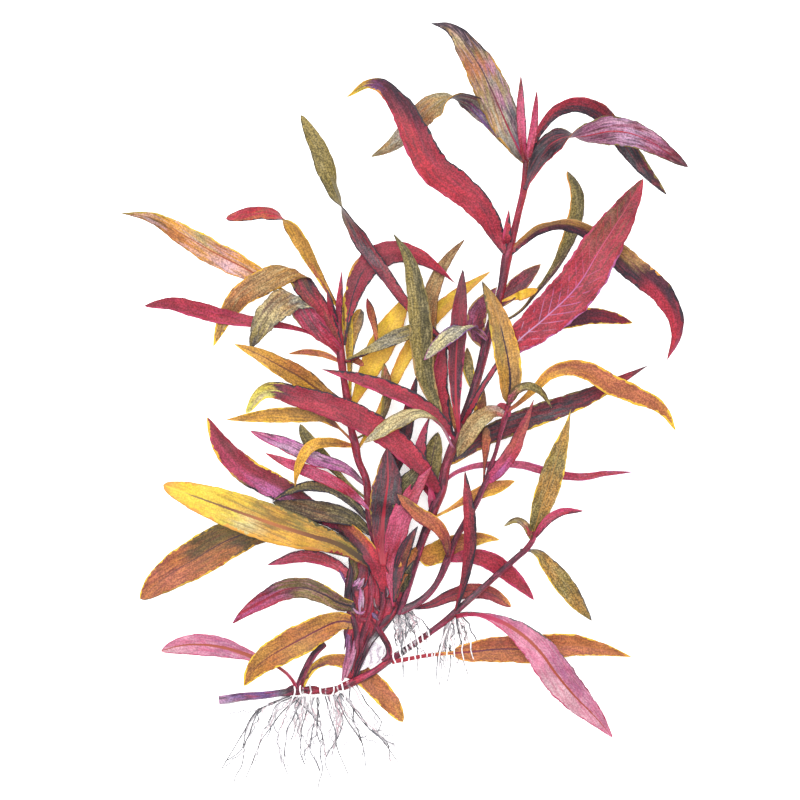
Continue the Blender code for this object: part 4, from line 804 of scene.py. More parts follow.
# Grain depth, dark ink and its share, pale ink and its share, roughness, and the usual rim inks,
# left|right. A dark rim ink on one edge, such as ink or damson, is painted shade along that edge.
LEAF_FINISHES = {
    "leaf_crimson": (0.55, "maroon", 0.62, "rose", 0.18, 0.50, "magenta|ink"),
    "leaf_magenta": (0.55, "maroon", 0.48, "pink", 0.32, 0.50, "magenta|plum"),
    "leaf_plum": (0.62, "ink", 0.66, "crimson", 0.42, 0.48, "wine|ink"),
    "leaf_mauve": (0.50, "damson", 0.88, "blush", 0.40, 0.55, "wine|damson"),
    "leaf_gold": (0.54, "damson", 0.50, "orange", 0.30, 0.50, "yellow|amber"),
    "leaf_yellow": (0.30, "orange", 0.45, "yellow", 0.30, 0.48, "amber|orange"),
    "leaf_olive": (0.80, "moss", 0.60, "sand", 0.35, 0.55, "moss|khaki"),
    "leaf_tan": (0.65, "brown", 0.62, "sand", 0.50, 0.62, "khaki|umber"),
    "leaf_rust": (0.55, "maroon", 0.45, "orange", 0.20, 0.52, "amber|brown"),
    "leaf_pink": (0.36, "rose", 0.50, "blush", 0.42, 0.50, "rose|magenta"),
    "leaf_grey": (0.75, "slate", 0.75, "sand", 0.40, 0.70, "khaki|slate"),
}
leaf_skins = {}
for slot_name, (*values, _) in LEAF_FINISHES.items():
    leaf_skins[slot_name] = [leaf_finish(slot_name, side, *values) for side in ("upper", "under")]


def solid_tree(name):
    """The surface of a CAD node, kept for the leaves that ask for it again."""
    if name not in trees:
        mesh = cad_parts[name].data
        points = [vert.co for vert in mesh.vertices]
        trees[name] = BVHTree.FromPolygons(points, [tuple(face.vertices) for face in mesh.polygons])
    return trees[name]


def walls(name, mark):
    """Middle heights of a node's walls on the line from the eye to a mark on the table."""
    ray = (mark - EYE).normalized()
    start, found = EYE, []
    while True:
        hit = solid_tree(name).ray_cast(start, ray)[0]
        if hit is None:
            break
        if not found or found[-1] - hit.z > SAME_WALL:
            found.append(hit.z)
        start = hit + ray * SIDE_STEP / 40
    return [(top + bottom) / 2 for top, bottom in zip(found[::2], found[1::2])]


def unfold(points, crease):
    """The part of a path after its crease, mirrored flat, with the crease point and its direction."""
    fold = points[crease]
    arrive = (fold - points[crease - 1]).normalized()
    leave = (points[crease + 1] - fold).normalized()
    line = (arrive + leave).normalized()
    over = Vector((-line.y, line.x, 0))
    if over.dot(arrive) < 0:
        over = -over
    flat = list(points[:crease + 1])
    for point in points[crease + 1:]:
        flat.append(point + (math.pi * CREASE_RADIUS - 2 * (point - fold).dot(over)) * over)
    return flat, fold, over


def turned_over(points, levels, fold, over):
    """Points of a flat blade carried round its crease."""
    over = np.array(over)
    reach = (points - np.array(fold)) @ over
    angle = np.clip(reach / CREASE_RADIUS, 0, math.pi)
    inner = CREASE_RADIUS - (points[:, 2] - levels)
    beyond = np.maximum(reach - math.pi * CREASE_RADIUS, 0)
    moved = points + (inner * np.sin(angle) - beyond - reach)[:, None] * over
    moved[:, 2] = levels + CREASE_RADIUS - inner * np.cos(angle)
    return np.where(reach[:, None] > 0, moved, points)


def blade_width(along, stalk, shape):
    """Width as a share of the widest part. Shape is where it is widest, and its two tapers."""
    widest, base_taper, tip_taper = shape
    inside = np.clip((along - stalk) / (1 - stalk), 0, 1)
    shifted = inside ** (math.log(0.5) / math.log(widest))
    swell = np.sin(math.pi * shifted).clip(0) ** np.where(shifted < 0.5, base_taper, tip_taper)
    slim = PETIOLE_SHARE * (1 - along)
    return swell * (1 - slim) + slim


def ragged(run, seed, side):
    """The unevenness of a rim, from -1 to 1: long lobes with small nicks between them."""
    lobes = ((9.7, 0.34), (5.3, 0.27), (3.1, 0.2), (1.9, 0.12), (1.1, 0.07))    # length in mm, and share
    waves = [share * np.sin(2 * math.pi * run / length + seed * (1.3 + number) + side * (0.9 + number))
             for number, (length, share) in enumerate(lobes)]
    return sum(waves)


def flow_evenly(values, place):
    """A smooth curve through values that are spread evenly from 0 to 1."""
    if len(values) == 1:
        return values[0]
    return flow([index / (len(values) - 1) for index in range(len(values))], values, place)


def blade_line(name, node_name, path, roll, heights, free, side, crease):
    """The curve that a blade follows: the middle of its solid at each station, or if free its heights."""
    flat = [spot(*mark) for mark in path]
    fold = over = None
    if crease:
        flat, fold, over = unfold(flat, crease)
    knots = chord_knots(flat)
    guide = [height * MM for height in heights]
    marks, levels, offset = [], [], 0.0
    for place in STATIONS:
        mark = flow(knots, flat, place)
        marks.append(flat[-1] if place == STATIONS[-1] else mark)
        seen = mark
        layers = 0.0
        if crease:
            reach = (mark - fold).dot(over)
            if reach > math.pi * CREASE_RADIUS:
                seen = mark + over * (math.pi * CREASE_RADIUS - 2 * reach)
                layers = 2 * CREASE_RADIUS
            elif reach > 0:
                levels.append(None)
                continue
        found = walls(node_name, seen + Vector((SIDE_STEP, SIDE_STEP, 0)))
        if not found and not free:
            levels.append(None)
            continue
        if guide:
            expected = flow_evenly(guide, place) + offset
            level = expected if free else min(found, key=lambda height: abs(height - expected))
            offset += level - expected
        else:
            level = found[0]
        levels.append(level - layers)
    known = [(place, level) for place, level in zip(STATIONS, levels) if level is not None]
    levels = np.interp(STATIONS, [place for place, _ in known], [level for _, level in known])
    levels[0] -= side * STEM_DIVE
    bpy.ops.curve.primitive_bezier_curve_add()
    line = bpy.context.object
    line.name = name + "_line"
    line.location = (0, 0, 0)
    line.data.twist_mode = "Z_UP"
    line.data.resolution_u = LINE_STEPS
    spline = line.data.splines[0]
    spline.bezier_points.add(len(STATIONS) - 2)
    for point, place, mark, level in zip(spline.bezier_points, STATIONS, marks, levels):
        point.co = mark + (EYE - mark) * (level / EYE_HEIGHT)
        point.tilt = -math.radians(flow_evenly(roll, place))
        point.handle_left_type = point.handle_right_type = "AUTO"
    return line, levels, fold, over


def leaf(name, path, width, shape, slot, left, right="", under="", on="", heights=(), free=False, side=0,
         roll=(0,), crease=0, rim="", rim_width=0.4, rib="", rib_width=0.28, veins="", vein_share=0.0,
         stalk=0.0, wave=0.35, scallop=0.035, quilt=0.04, skins=(), streak="", streak_share=0.6):
    """One leaf from its stalk to its tip, along drawing coordinates.

    Width, heights and the widths of rim and rib are in mm, and roll is in degrees. On names the
    stem that a small leaf is one solid with. Left and right are as seen from the stalk.
    """
    node_name = on or name
    line, levels, fold, over = blade_line(name, node_name, path, roll, heights, free, side, crease)
    length = line.data.splines[0].calc_length()
    columns = max(FEWEST_COLUMNS, round(length / BLADE_STEP))
    rows = BLADE_ROWS if width > WIDE_BLADE else BLADE_ROWS - FEWER_ROWS
    bpy.ops.mesh.primitive_grid_add(x_subdivisions=columns, y_subdivisions=rows, size=2)
    piece = bpy.context.object
    piece.name = piece.data.name = name
    start = points_of(piece)
    along = (start[:, 0] + 1) / 2
    across = np.sign(start[:, 1]) * np.abs(start[:, 1]) ** RIB_CROWDING
    seed = sum(ord(letter) * (place + 1) for place, letter in enumerate(name)) % 97
    run = along * length / MM
    half = width / 2 * blade_width(along, stalk, shape)
    half_here = half * (1 + scallop * 2 * ragged(run, seed, np.sign(across)) * np.abs(across) ** 2)
    reach = across * half_here
    cup = BLADE_CUP * half * np.abs(across) ** 1.4
    slant = run - np.abs(reach) * VEIN_SLANT
    vein = np.cos(2 * math.pi * (slant / VEIN_SPACING - 0.5))
    open_blade = np.clip((half - FLAT_HALF) / OPEN_SPREAD, 0, 1)
    valleys = -quilt * vein * open_blade * np.sin(math.pi * np.clip(np.abs(across), 0, 1)) ** 0.5
    ripple = np.sin(2 * math.pi * run / RIPPLE_LENGTH + seed * RIPPLE_SHIFT
                    + RIPPLE_OFFSET * np.sign(across))
    ripple = wave * ripple * np.abs(across) ** 2.5 * open_blade
    groove = -GROOVE_DEPTH * np.exp(-((reach / GROOVE_REACH) ** 2)) * (1 - along) ** 0.5 * open_blade
    shaped = np.stack([run * MM, reach * MM, (cup + valleys + ripple + groove) * MM], axis=-1)
    place_points(piece, shaped)
    streaky = np.clip(along + STREAKY * ragged(run * 0.3, seed, across * 7), 0, 1)
    # The two halves' inks are the leaf's own colours, and where one half is darker than the other that is
    # painted shade on that half.
    left_tint = inks_along(left, streaky)
    right_tint = inks_along(right or left, streaky)
    share = 1 / (1 + np.exp(-across * SIDE_BLEND))
    upper = left_tint * share[:, None] + right_tint * (1 - share[:, None])
    paint(piece, "upper", upper)
    paint(piece, "under", inks_along(under, streaky) if under else upper * UNDER_SHADE + UNDER_LIFT)
    # Rims: coloured ones, such as yellow or gold, are the leaf's own margin; a dark ink on one edge is
    # painted shade along it.
    left_rim, _, right_rim = (rim or LEAF_FINISHES[slot][-1]).partition("|")
    rims = np.where(across[:, None] > 0, inks_along(left_rim, along),
                    inks_along(right_rim or left_rim, along))
    marked = {
        "rim": (rims, rim_width),
        "rib": (inks_along(rib, along), rib_width) if rib else (upper, -1),
        "vein": (inks_along(veins, along) if veins else upper, vein_share),
        "streak": (inks_along(streak, streaky), streak_share) if streak else (upper, 0.0),
    }
    for mark, (tint, amount) in marked.items():
        data = np.concatenate([tint, np.full((len(along), 1), amount)], axis=1).astype(np.float32)
        piece.data.attributes.new(mark, "FLOAT_COLOR", "POINT").data.foreach_set("color", data.ravel())
    edge = np.minimum((1 - np.abs(across)) * half_here, (1 - along) * length / MM)
    note(piece, "blade", along, across, edge)
    note(piece, "ruler", run, reach, seed)
    body = piece.vertex_groups.new(name="body")
    thick = np.exp(-((reach / RIB_REACH) ** 2)) * (1 - MIDRIB_THINNING * along)
    for index, weight in enumerate(thick):
        body.add([index], float(weight), "REPLACE")
    bend = piece.modifiers.new("bend", "CURVE")
    bend.object = line
    apply_modifier(piece, bend)
    if crease:
        place_points(piece, turned_over(points_of(piece), np.interp(along, STATIONS, levels), fold, over))
    thicken = piece.modifiers.new("thicken", "SOLIDIFY")
    thicken.thickness = RIB_THICKNESS
    thicken.offset = 0
    thicken.vertex_group = "body"
    thicken.thickness_vertex_group = RIM_THICKNESS / RIB_THICKNESS
    thicken.material_offset = 1
    top_skin, under_skin = skins or (slot, slot)
    piece.data.materials.append(leaf_skins[top_skin][0])
    piece.data.materials.append(leaf_skins[under_skin][1])
    apply_modifier(piece, thicken)
    points = points_of(piece)
    points[:, 2] = np.maximum(points[:, 2], LOWEST)
    place_points(piece, points)
    bpy.ops.object.shade_smooth()
    bpy.data.objects.remove(line)
    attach(piece, "root")
    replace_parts(piece, node_name)
    return piece


leaf("yellow_leaf_behind_left", [(349, 412), (362, 385), (378, 352), (392, 325), (407, 298)], 8.6,
     (0.6, 1.0, 0.7), "leaf_yellow", "amber yellow@0.3 amber@0.5 yellow@0.62 yellow amber",
     "amber yellow@0.4 amber@0.6 yellow@0.75 amber", side=-1, rim="amber|orange", rim_width=0.35)
leaf("yellow_leaf_behind_middle", [(356, 452), (378, 415), (395, 378), (412, 345), (437, 313), (462, 291),
     (491, 271)], 5.2, (0.65, 0.8, 0.9), "leaf_yellow", "amber yellow@0.3 amber@0.5 yellow@0.7 yellow",
     "amber yellow@0.4 amber@0.7 amber", side=-1, rim="orange|amber", rim_width=0.35)
leaf("tan_leaf_behind_left", [(350, 412), (350, 380), (349, 345), (347, 318), (348, 289)], 3.8,
     (0.8, 0.5, 0.5), "leaf_tan", "yellow amber@0.5 ochre@0.65 khaki@0.8 ochre",
     "amber yellow@0.5 khaki@0.7 ochre", on="left_stem", heights=(12.5, 8, 7, 5), rim="yellow")
leaf("gold_leaf_behind_left", [(351, 408), (350, 375), (351, 342), (361, 309)], 4.2, (0.82, 0.7, 0.35),
     "leaf_tan", "yellow amber@0.6 ochre@0.75 gold", "yellow amber@0.5 gold@0.7 ochre slate",
     on="left_stem", heights=(12.0, 8, 6.5, 5), rim="amber|slate", rim_width=0.25)
leaf("brown_leaf_behind_middle", [(458, 436), (442, 385), (430, 340), (430, 300), (445, 263), (465, 239)],
     5.4, (0.6, 0.8, 0.8), "leaf_tan", "rust rust rust tan brown", side=-1, rim="brown", rim_width=0.15)
leaf("crimson_leaf_behind_middle", [(344, 345), (347, 325), (352, 300), (361, 275), (378, 257),
     (402, 253), (428, 262), (455, 283)], 8.4, (0.46, 1.3, 1.2), "leaf_crimson",
     "crimson crimson@0.1 wine@0.25 maroon@0.35 wine@0.5 crimson scarlet crimson",
     "crimson crimson@0.1 wine@0.25 wine@0.4 maroon@0.5 crimson crimson", side=-1, roll=(0, 10, 30),
     rim="ink@0 gold@0.12 yellow@0.3 wine@0.5 magenta|ink ink@0.2 damson wine",
     rib="ink@0.2 ink@0.4 wine@0.5", rib_width=0.3, stalk=0.1)
leaf("twisted_leaf_left", [(478, 378), (440, 338), (405, 302), (382, 270), (358, 235), (341, 205),
     (326, 172), (314, 135), (301, 115)], 6.8, (0.76, 0.55, 0.6), "leaf_olive",
     "crimson magenta@0.15 crimson@0.3 plum@0.45 slate@0.58 ink@0.66",
     "crimson scarlet@0.15 crimson@0.32 slate@0.5 damson@0.6 ink@0.66", under="olive khaki olive khaki",
     side=-1, roll=(0, 0, 0, 5, 75, 180, 180), skins=("leaf_plum", "leaf_olive"),
     streak="crimson crimson@0.58 khaki@0.66 khaki", streak_share=0.5,
     rim="ink@0.1 damson@0.4 ink@0.66 khaki@0.7|ink@0.66 moss@0.7", rim_width=0.3)
leaf("grey_leaf_behind_middle", [(343, 362), (362, 353), (385, 342), (408, 332), (432, 322)], 4.8,
     (0.62, 1.2, 0.7), "leaf_grey", "umber khaki grey khaki slate", on="left_stem",
     heights=(13.7, 13, 13, 12), rim="khaki|ink", rim_width=0.15)
leaf("plum_leaf_behind_stem", [(486, 350), (476, 330), (478, 312), (488, 298), (497, 287)], 6.4,
     (0.5, 0.8, 0.8), "leaf_plum", "maroon mauve maroon", "plum maroon mauve", on="tall_stem",
     heights=(16.2, 12, 9, 8), rim="tan")
leaf("brown_leaf_small", [(474, 392), (469, 372), (467, 347)], 3.6, (0.5, 0.8, 0.8), "leaf_olive",
     "umber khaki brown", on="tall_stem", heights=(15, 14, 14), rim="yellow", rim_width=0.2)
leaf("red_leaf_small", [(455, 444), (444, 410), (440, 378), (445, 340)], 5.0, (0.6, 0.8, 0.7),
     "leaf_crimson", "wine crimson wine", on="tall_stem", heights=(13.3, 11, 13, 13))
leaf("brown_leaf_tiny", [(354, 440), (378, 425), (387, 400), (386, 380), (384, 363)], 3.4,
     (0.75, 0.7, 0.8), "leaf_tan", "wine umber umber brick", on="left_stem", heights=(11.6, 9, 10, 10))
leaf("plum_leaf_narrow", [(369, 512), (390, 478), (404, 435), (417, 375)], 5.0, (0.55, 0.8, 0.8),
     "leaf_plum", "damson damson ink", on="left_stem", heights=(9.5, 7, 7, 8))
leaf("olive_leaf_behind_big_leaf", [(490, 328), (518, 313), (537, 291), (553, 270), (567, 242),
     (575, 218), (577, 195), (567, 171)], 5.0, (0.74, 1.1, 0.6), "leaf_olive",
     "damson brown umber@0.4 khaki@0.6 khaki olive", "damson plum plum@0.4 umber@0.55 olive@0.7 moss",
     side=-1, rim="khaki@0.2 khaki@0.5 orange@0.7|damson damson@0.5 umber", rim_width=0.25)
leaf("plum_leaf_under_big_leaf", [(490, 330), (530, 330), (565, 321), (598, 316), (633, 323)], 5.4,
     (0.65, 0.6, 0.7), "leaf_plum", "damson plum plum wine", rim="yellow", rim_width=0.25)
leaf("plum_leaf_upper", [(496, 308), (507, 297), (520, 283), (541, 264)], 5.6, (0.5, 0.8, 0.8),
     "leaf_plum", "plum maroon plum brown", on="tall_stem", heights=(17.3, 17, 16), rim="tan",
     rim_width=0.2)
leaf("yellow_leaf_tiny", [(499, 302), (512, 298), (525, 294), (538, 289)], 3.2, (0.65, 0.8, 0.7),
     "leaf_yellow", "yellow yellow amber", on="tall_stem", heights=(17.5, 15, 13))
leaf("crown_leaf_drooping_left", [(524, 162), (505, 138), (488, 116), (462, 99), (438, 103), (415, 122),
     (396, 142), (371, 157)], 8.2, (0.55, 0.7, 0.8), "leaf_tan",
     "wine ink@0.12 violet@0.28 ink@0.42 damson", "wine violet@0.2 damson@0.32 ink",
     under="tan@0.42 khaki@0.5 tan@0.58 rust@0.66 blush@0.76 ash@0.84 tan@0.9 umber",
     roll=(0, 0, 35, 170, 180, 180), skins=("leaf_plum", "leaf_tan"), streak="grey", streak_share=0.5,
     rim="khaki|ink@0.4 amber@0.5 khaki", rim_width=0.2)
leaf("crown_leaf_dark_right", [(527, 162), (538, 134), (556, 112), (580, 104), (604, 117), (625, 145),
     (645, 170), (667, 195)], 6.2, (0.6, 0.8, 0.8), "leaf_plum",
     "crimson crimson@0.2 wine@0.4 maroon@0.52 slate@0.64 ink@0.8 damson",
     "crimson plum@0.2 ink@0.35 damson@0.5 ink@0.62 slate@0.75 ink",
     rim="magenta crimson@0.4 umber@0.6 khaki|ink ink ink")
leaf("plum_leaf_left", [(386, 594), (374, 568), (356, 541), (335, 522), (318, 514), (285, 492),
     (243, 468), (219, 442), (207, 417)], 8.6, (0.7, 0.7, 0.8), "leaf_crimson",
     "crimson crimson@0.1 wine@0.2 damson@0.24 magenta@0.38 mauve@0.48 orchid@0.62 magenta@0.75 wine",
     "crimson scarlet@0.1 rust@0.22 rust@0.28 wine@0.35 maroon@0.5 wine@0.75 maroon wine", side=-1,
     rim="ink damson@0.3 ink@0.5 ink@0.7 amber@0.8 yellow|damson@0.1 amber@0.2 damson@0.35 damson@0.5 "
         "yellow@0.62 yellow@0.72 wine@0.8 wine", rim_width=0.45)
leaf("olive_leaf_left", [(372, 535), (352, 519), (330, 513), (300, 508), (272, 502)], 6.8,
     (0.55, 0.7, 0.8), "leaf_olive", "ink moss@0.15 umber brown@0.5 umber moss",
     "umber moss@0.2 umber brown moss", side=-1, streak="ink", streak_share=0.45, rim="ink|ink",
     rim_width=0.25)
leaf("olive_leaf_left_narrow", [(370, 522), (352, 502), (335, 490), (315, 486), (295, 489), (272, 501)],
     3.6, (0.5, 0.6, 0.9), "leaf_olive", "damson ink@0.2 umber olive umber",
     "ink moss@0.2 brown khaki umber", on="left_stem", heights=(9.2, 12, 11, 9), streak="ink",
     streak_share=0.4, rim="ink|ink")
leaf("orange_leaf_left", [(381, 562), (320, 546), (270, 529), (228, 540), (200, 556), (171, 573),
     (140, 599)], 13.0, (0.68, 1.2, 0.6), "leaf_rust",
     "damson moss@0.3 moss@0.45 umber@0.57 rust@0.64 terracotta@0.85 rust",
     "moss umber@0.35 olive@0.55 umber@0.72 rust@0.79 terracotta@0.88 rust", side=-1,
     streak="ink moss@0.5 moss@0.72 maroon@0.8 maroon", streak_share=0.5,
     rim="olive@0 moss@0.45 amber@0.52 yellow@0.7 brown|olive@0 olive@0.6 yellow@0.68 yellow",
     rim_width=0.35, rib="ink damson@0.6 brown", rib_width=0.35, scallop=0.02)
leaf("gold_leaf_under_crown", [(303, 687), (312, 669), (330, 660), (350, 664), (368, 680), (386, 697),
     (403, 722)], 7.0, (0.7, 0.6, 0.6), "leaf_gold", "damson ochre@0.2 rust rust terracotta gold",
     "maroon plum@0.15 rust@0.3 terracotta rust rust", skins=("leaf_rust", "leaf_rust"),
     rim="amber yellow amber|yellow")
leaf("orange_leaf_right", [(392, 662), (430, 655), (460, 653), (490, 649), (525, 650), (565, 645),
     (600, 649), (632, 657)], 9.0, (0.42, 0.5, 0.9), "leaf_rust",
     "crimson@0 crimson@0.16 orange@0.2 rust@0.27 brick@0.5 rust rust",
     "crimson@0 crimson@0.16 orange@0.2 rust@0.27 terracotta rust",
     rim="crimson@0 crimson@0.16 orange@0.22 amber yellow amber", rim_width=0.28,
     rib="crimson crimson@0.16 plum@0.4 maroon@0.6 rust@0.7", rib_width=0.45, stalk=0.26)
leaf("brick_leaf_right", [(415, 608), (430, 605), (452, 595), (472, 591), (492, 594), (511, 607)], 5.0,
     (0.6, 0.7, 0.5), "leaf_rust", "wine wine@0.2 maroon@0.4 brick@0.6 brick@0.85 orange",
     "wine wine@0.3 brick@0.5 wine@0.75 terracotta", side=-1, skins=("leaf_crimson", "leaf_crimson"),
     streak="wine", streak_share=0.55, rim="wine ink wine orange|ink wine", rim_width=0.3, rib="damson",
     rib_width=0.25)
leaf("crimson_leaf_low_right", [(448, 560), (470, 556), (490, 561), (508, 573), (522, 586), (534, 600)],
     6.0, (0.5, 0.7, 0.75), "leaf_crimson", "magenta crimson crimson crimson wine", side=-1,
     rim="magenta")
leaf("gold_leaf_low_right", [(420, 560), (440, 551), (462, 543), (482, 538), (500, 540)], 7.4,
     (0.3, 0.5, 0.8), "leaf_gold", "rust gold@0.3 rust@0.45 terracotta@0.6 rust@0.75 gold",
     "rust gold@0.3 rust@0.45 terracotta@0.65 amber gold", on="tall_stem", heights=(7.5, 4.2, 3.4, 3.2),
     skins=("leaf_rust", "leaf_rust"), rim="brown@0 yellow@0.5 amber|yellow", rim_width=0.35)
leaf("plum_leaf_long_right", [(446, 464), (485, 437), (540, 414), (585, 398), (620, 380), (649, 365)],
     7.2, (0.45, 0.6, 1.0), "leaf_plum",
     "slate ink@0.2 slate@0.35 damson@0.5 ink@0.65 maroon@0.78 crimson@0.85 ink",
     "slate damson@0.2 ink@0.35 slate@0.5 damson@0.65 wine@0.8 crimson@0.88 ink", side=-1, streak="wine",
     streak_share=0.5,
     rim="ink umber@0.2 khaki@0.5 umber@0.7 wine@0.84 ink|gold@0.1 umber@0.3 yellow@0.45 yellow@0.74 "
         "wine@0.84 ink")
leaf("pink_leaf_long_right", [(441, 492), (452, 474), (480, 466), (515, 464), (548, 472), (580, 477),
     (610, 473), (633, 472)], 2.8, (0.6, 0.5, 0.7), "leaf_magenta",
     "wine magenta rose magenta crimson wine", rim="orchid", rim_width=0.12)
leaf("tan_leaf_middle_right", [(433, 518), (452, 508), (470, 497), (488, 490), (515, 481)], 4.4,
     (0.68, 1.0, 0.8), "leaf_tan", "rust orange@0.4 terracotta orange", "orange rust amber@0.7 rust",
     on="tall_stem", heights=(10.4, 10, 9, 7), skins=("leaf_rust", "leaf_rust"), rim="amber|yellow",
     rim_width=0.2)
leaf("olive_leaf_middle", [(435, 508), (430, 480), (433, 455), (438, 432)], 6.4, (0.6, 0.8, 0.7),
     "leaf_olive", "moss olive khaki olive", on="tall_stem", heights=(10.8, 9, 8, 8), rib="damson",
     rib_width=0.35)

# Leaves of the left shoot
# Long gold, crimson and orange leaves reach out to the left, with a big yellow one at the foot of
# the shoot. Two of them have dried and folded over, so that their pale undersides show.
leaf("orange_leaf_upper_left", [(339, 333), (300, 303), (262, 277), (224, 258), (186, 236), (150, 217),
     (119, 213)], 8.6, (0.4, 0.9, 1.1), "leaf_gold",
     "terracotta orange@0.28 orange@0.4 blush@0.5 orange@0.62 rust@0.75 umber khaki",
     "orange amber@0.28 orange@0.45 rust@0.55 sand@0.65 orange@0.75 gold olive", roll=(0, 15, 25, 10),
     streak="blush", streak_share=0.4, rim="amber@0.2 orange@0.5 brown|yellow amber yellow khaki",
     rim_width=0.35, rib="wine brick brick rust brown", rib_width=0.4, stalk=0.3)
leaf("folded_tan_leaf_left", [(340, 344), (328, 320), (313, 296), (298, 279), (280, 279), (254, 289),
     (231, 309), (213, 349)], 8.2, (0.55, 0.7, 0.8), "leaf_tan",
     "crimson crimson@0.2 crimson@0.3 ink@0.38 ink", "crimson crimson@0.2 damson@0.3 ink@0.38 ink",
     under="rust@0.35 ochre@0.45 tan@0.6 rust@0.74 ochre@0.88 gold", side=1, crease=3,
     skins=("leaf_plum", "leaf_tan"), streak="brown", streak_share=0.55,
     rim="ink@0.28 ink@0.34 yellow@0.38 amber@0.7 yellow|ink@0.34 umber@0.38 amber@0.6 yellow",
     rim_width=0.35)
leaf("crimson_leaf_long_left", [(341, 358), (320, 338), (285, 326), (240, 320), (205, 312), (175, 304),
     (144, 306)], 5.4, (0.66, 0.9, 0.7), "leaf_crimson", "crimson crimson wine crimson wine wine",
     "crimson scarlet crimson wine crimson maroon", streak="magenta", streak_share=0.35,
     rim="magenta|wine", rim_width=0.3, stalk=0.12)
leaf("folded_grey_leaf_left", [(340, 350), (322, 333), (303, 308), (284, 303), (264, 322), (250, 350)],
     9.2, (0.58, 0.7, 0.76), "leaf_grey", "crimson crimson magenta plum violet", "crimson magenta wine",
     under="grey@0.35 sand@0.45 ash@0.52 tan@0.58 sand@0.74 khaki@0.88 umber", side=1, crease=2,
     skins=("leaf_magenta", "leaf_grey"), streak="ink slate@0.5 brown@0.6 slate", streak_share=0.65,
     rim="crimson@0.3 khaki@0.36 slate|magenta@0.3 slate@0.4 slate", rim_width=0.2, wave=0.6,
     scallop=0.07, quilt=0.09)
leaf("gold_leaf_top_left", [(338, 308), (316, 270), (298, 238), (280, 216), (256, 213), (226, 219)], 5.4,
     (0.62, 0.9, 0.4), "leaf_gold", "rust brick@0.15 brick@0.3 gold@0.36 amber amber",
     "orange gold ochre amber amber", under="crimson@0.6 scarlet@0.8 crimson", side=1,
     roll=(0, 0, 15, 150, 180), skins=("leaf_gold", "leaf_crimson"), streak="ochre", streak_share=0.4,
     rim="yellow@0.3 khaki@0.55 wine@0.62|brown@0.2 yellow@0.6 damson@0.65", rim_width=0.25)
leaf("bud_leaf_left_1", [(341, 348), (339, 318), (340, 295), (342, 270)], 2.2, (0.55, 0.7, 0.95),
     "leaf_magenta", "magenta rose@0.4 crimson wine", on="left_stem", heights=(14.6, 17, 18, 20))
leaf("bud_leaf_left_2", [(340, 348), (336, 325), (331, 306), (327, 289)], 2.2, (0.65, 0.7, 0.9),
     "leaf_plum", "crimson magenta@0.4 wine ink", on="left_stem", heights=(14.5, 17, 18, 20))
leaf("rust_leaf_left_1", [(345, 363), (360, 357), (371, 351), (376, 341), (373, 320), (367, 298)], 2.7,
     (0.75, 0.9, 0.9), "leaf_rust", "wine brick@0.3 terracotta@0.6 brick@0.8 wine",
     "wine brick@0.3 rust@0.6 maroon", on="left_stem", heights=(13.2, 11.6, 10.8, 11.5, 13, 15.5),
     free=True, rim="wine|ink", rim_width=0.2, stalk=0.2)
leaf("rust_bud_leaf_left", [(345, 361), (355, 360), (364, 366)], 2.2, (0.6, 0.4, 0.3), "leaf_rust",
     "wine brick@0.3 terracotta brick", on="left_stem", heights=(13.5, 16, 16.5), rim="wine|wine",
     rim_width=0.15)
leaf("rust_leaf_left_2", [(341, 362), (325, 355), (305, 352), (288, 354)], 2.2, (0.5, 0.6, 0.8),
     "leaf_rust", "crimson rust brick rust", on="left_stem", heights=(13.6, 14, 13, 12), rim="amber",
     rim_width=0.12)
leaf("golden_leaf_left", [(348, 407), (325, 395), (305, 380), (280, 366), (258, 354), (234, 344)], 6.8,
     (0.45, 1.0, 0.85), "leaf_gold", "gold amber@0.2 gold@0.4 ochre@0.6 amber",
     "rust ochre rust@0.5 gold ochre", rim="orange amber yellow|brown umber amber", rim_width=0.35,
     rib="brown", rib_width=0.5)
leaf("gold_leaf_lower_left", [(354, 443), (340, 429), (322, 417), (295, 415), (265, 416), (225, 420)],
     5.0, (0.45, 0.9, 0.9), "leaf_gold", "wine wine@0.15 brown@0.24 ochre@0.32 amber ochre gold",
     "wine maroon@0.15 brown@0.24 ochre@0.35 gold gold", rim="wine amber yellow yellow orange",
     rim_width=0.25, stalk=0.15)
leaf("olive_leaf_upright_left", [(368, 500), (346, 482), (322, 455), (308, 440), (300, 424)], 4.4,
     (0.75, 0.7, 0.7), "leaf_olive", "moss khaki olive olive", on="left_stem", heights=(9.7, 9, 11, 11))
leaf("mauve_leaf_left", [(366, 486), (345, 468), (318, 460), (290, 446), (265, 437), (250, 431)], 5.0,
     (0.55, 0.8, 0.7), "leaf_mauve", "damson mauve@0.12 orchid@0.3 orchid@0.5 lilac@0.7 orchid magenta",
     "ink mauve@0.15 orchid@0.3 lilac@0.5 orchid@0.7 magenta", rim="magenta|damson", rim_width=0.15)
leaf("pink_leaf_left", [(372, 512), (350, 492), (325, 478), (300, 468), (285, 462), (265, 453)], 4.2,
     (0.55, 0.8, 0.8), "leaf_magenta", "orchid crimson magenta magenta crimson", rim="crimson",
     rim_width=0.15)
leaf("gold_leaf_curved_left", [(353, 446), (335, 443), (315, 444), (303, 456), (297, 472), (295, 487)],
     3.6, (0.5, 0.6, 0.9), "leaf_gold", "wine ochre amber amber gold", on="left_stem",
     heights=(11.5, 17, 18, 14), rim="amber", rim_width=0.2)
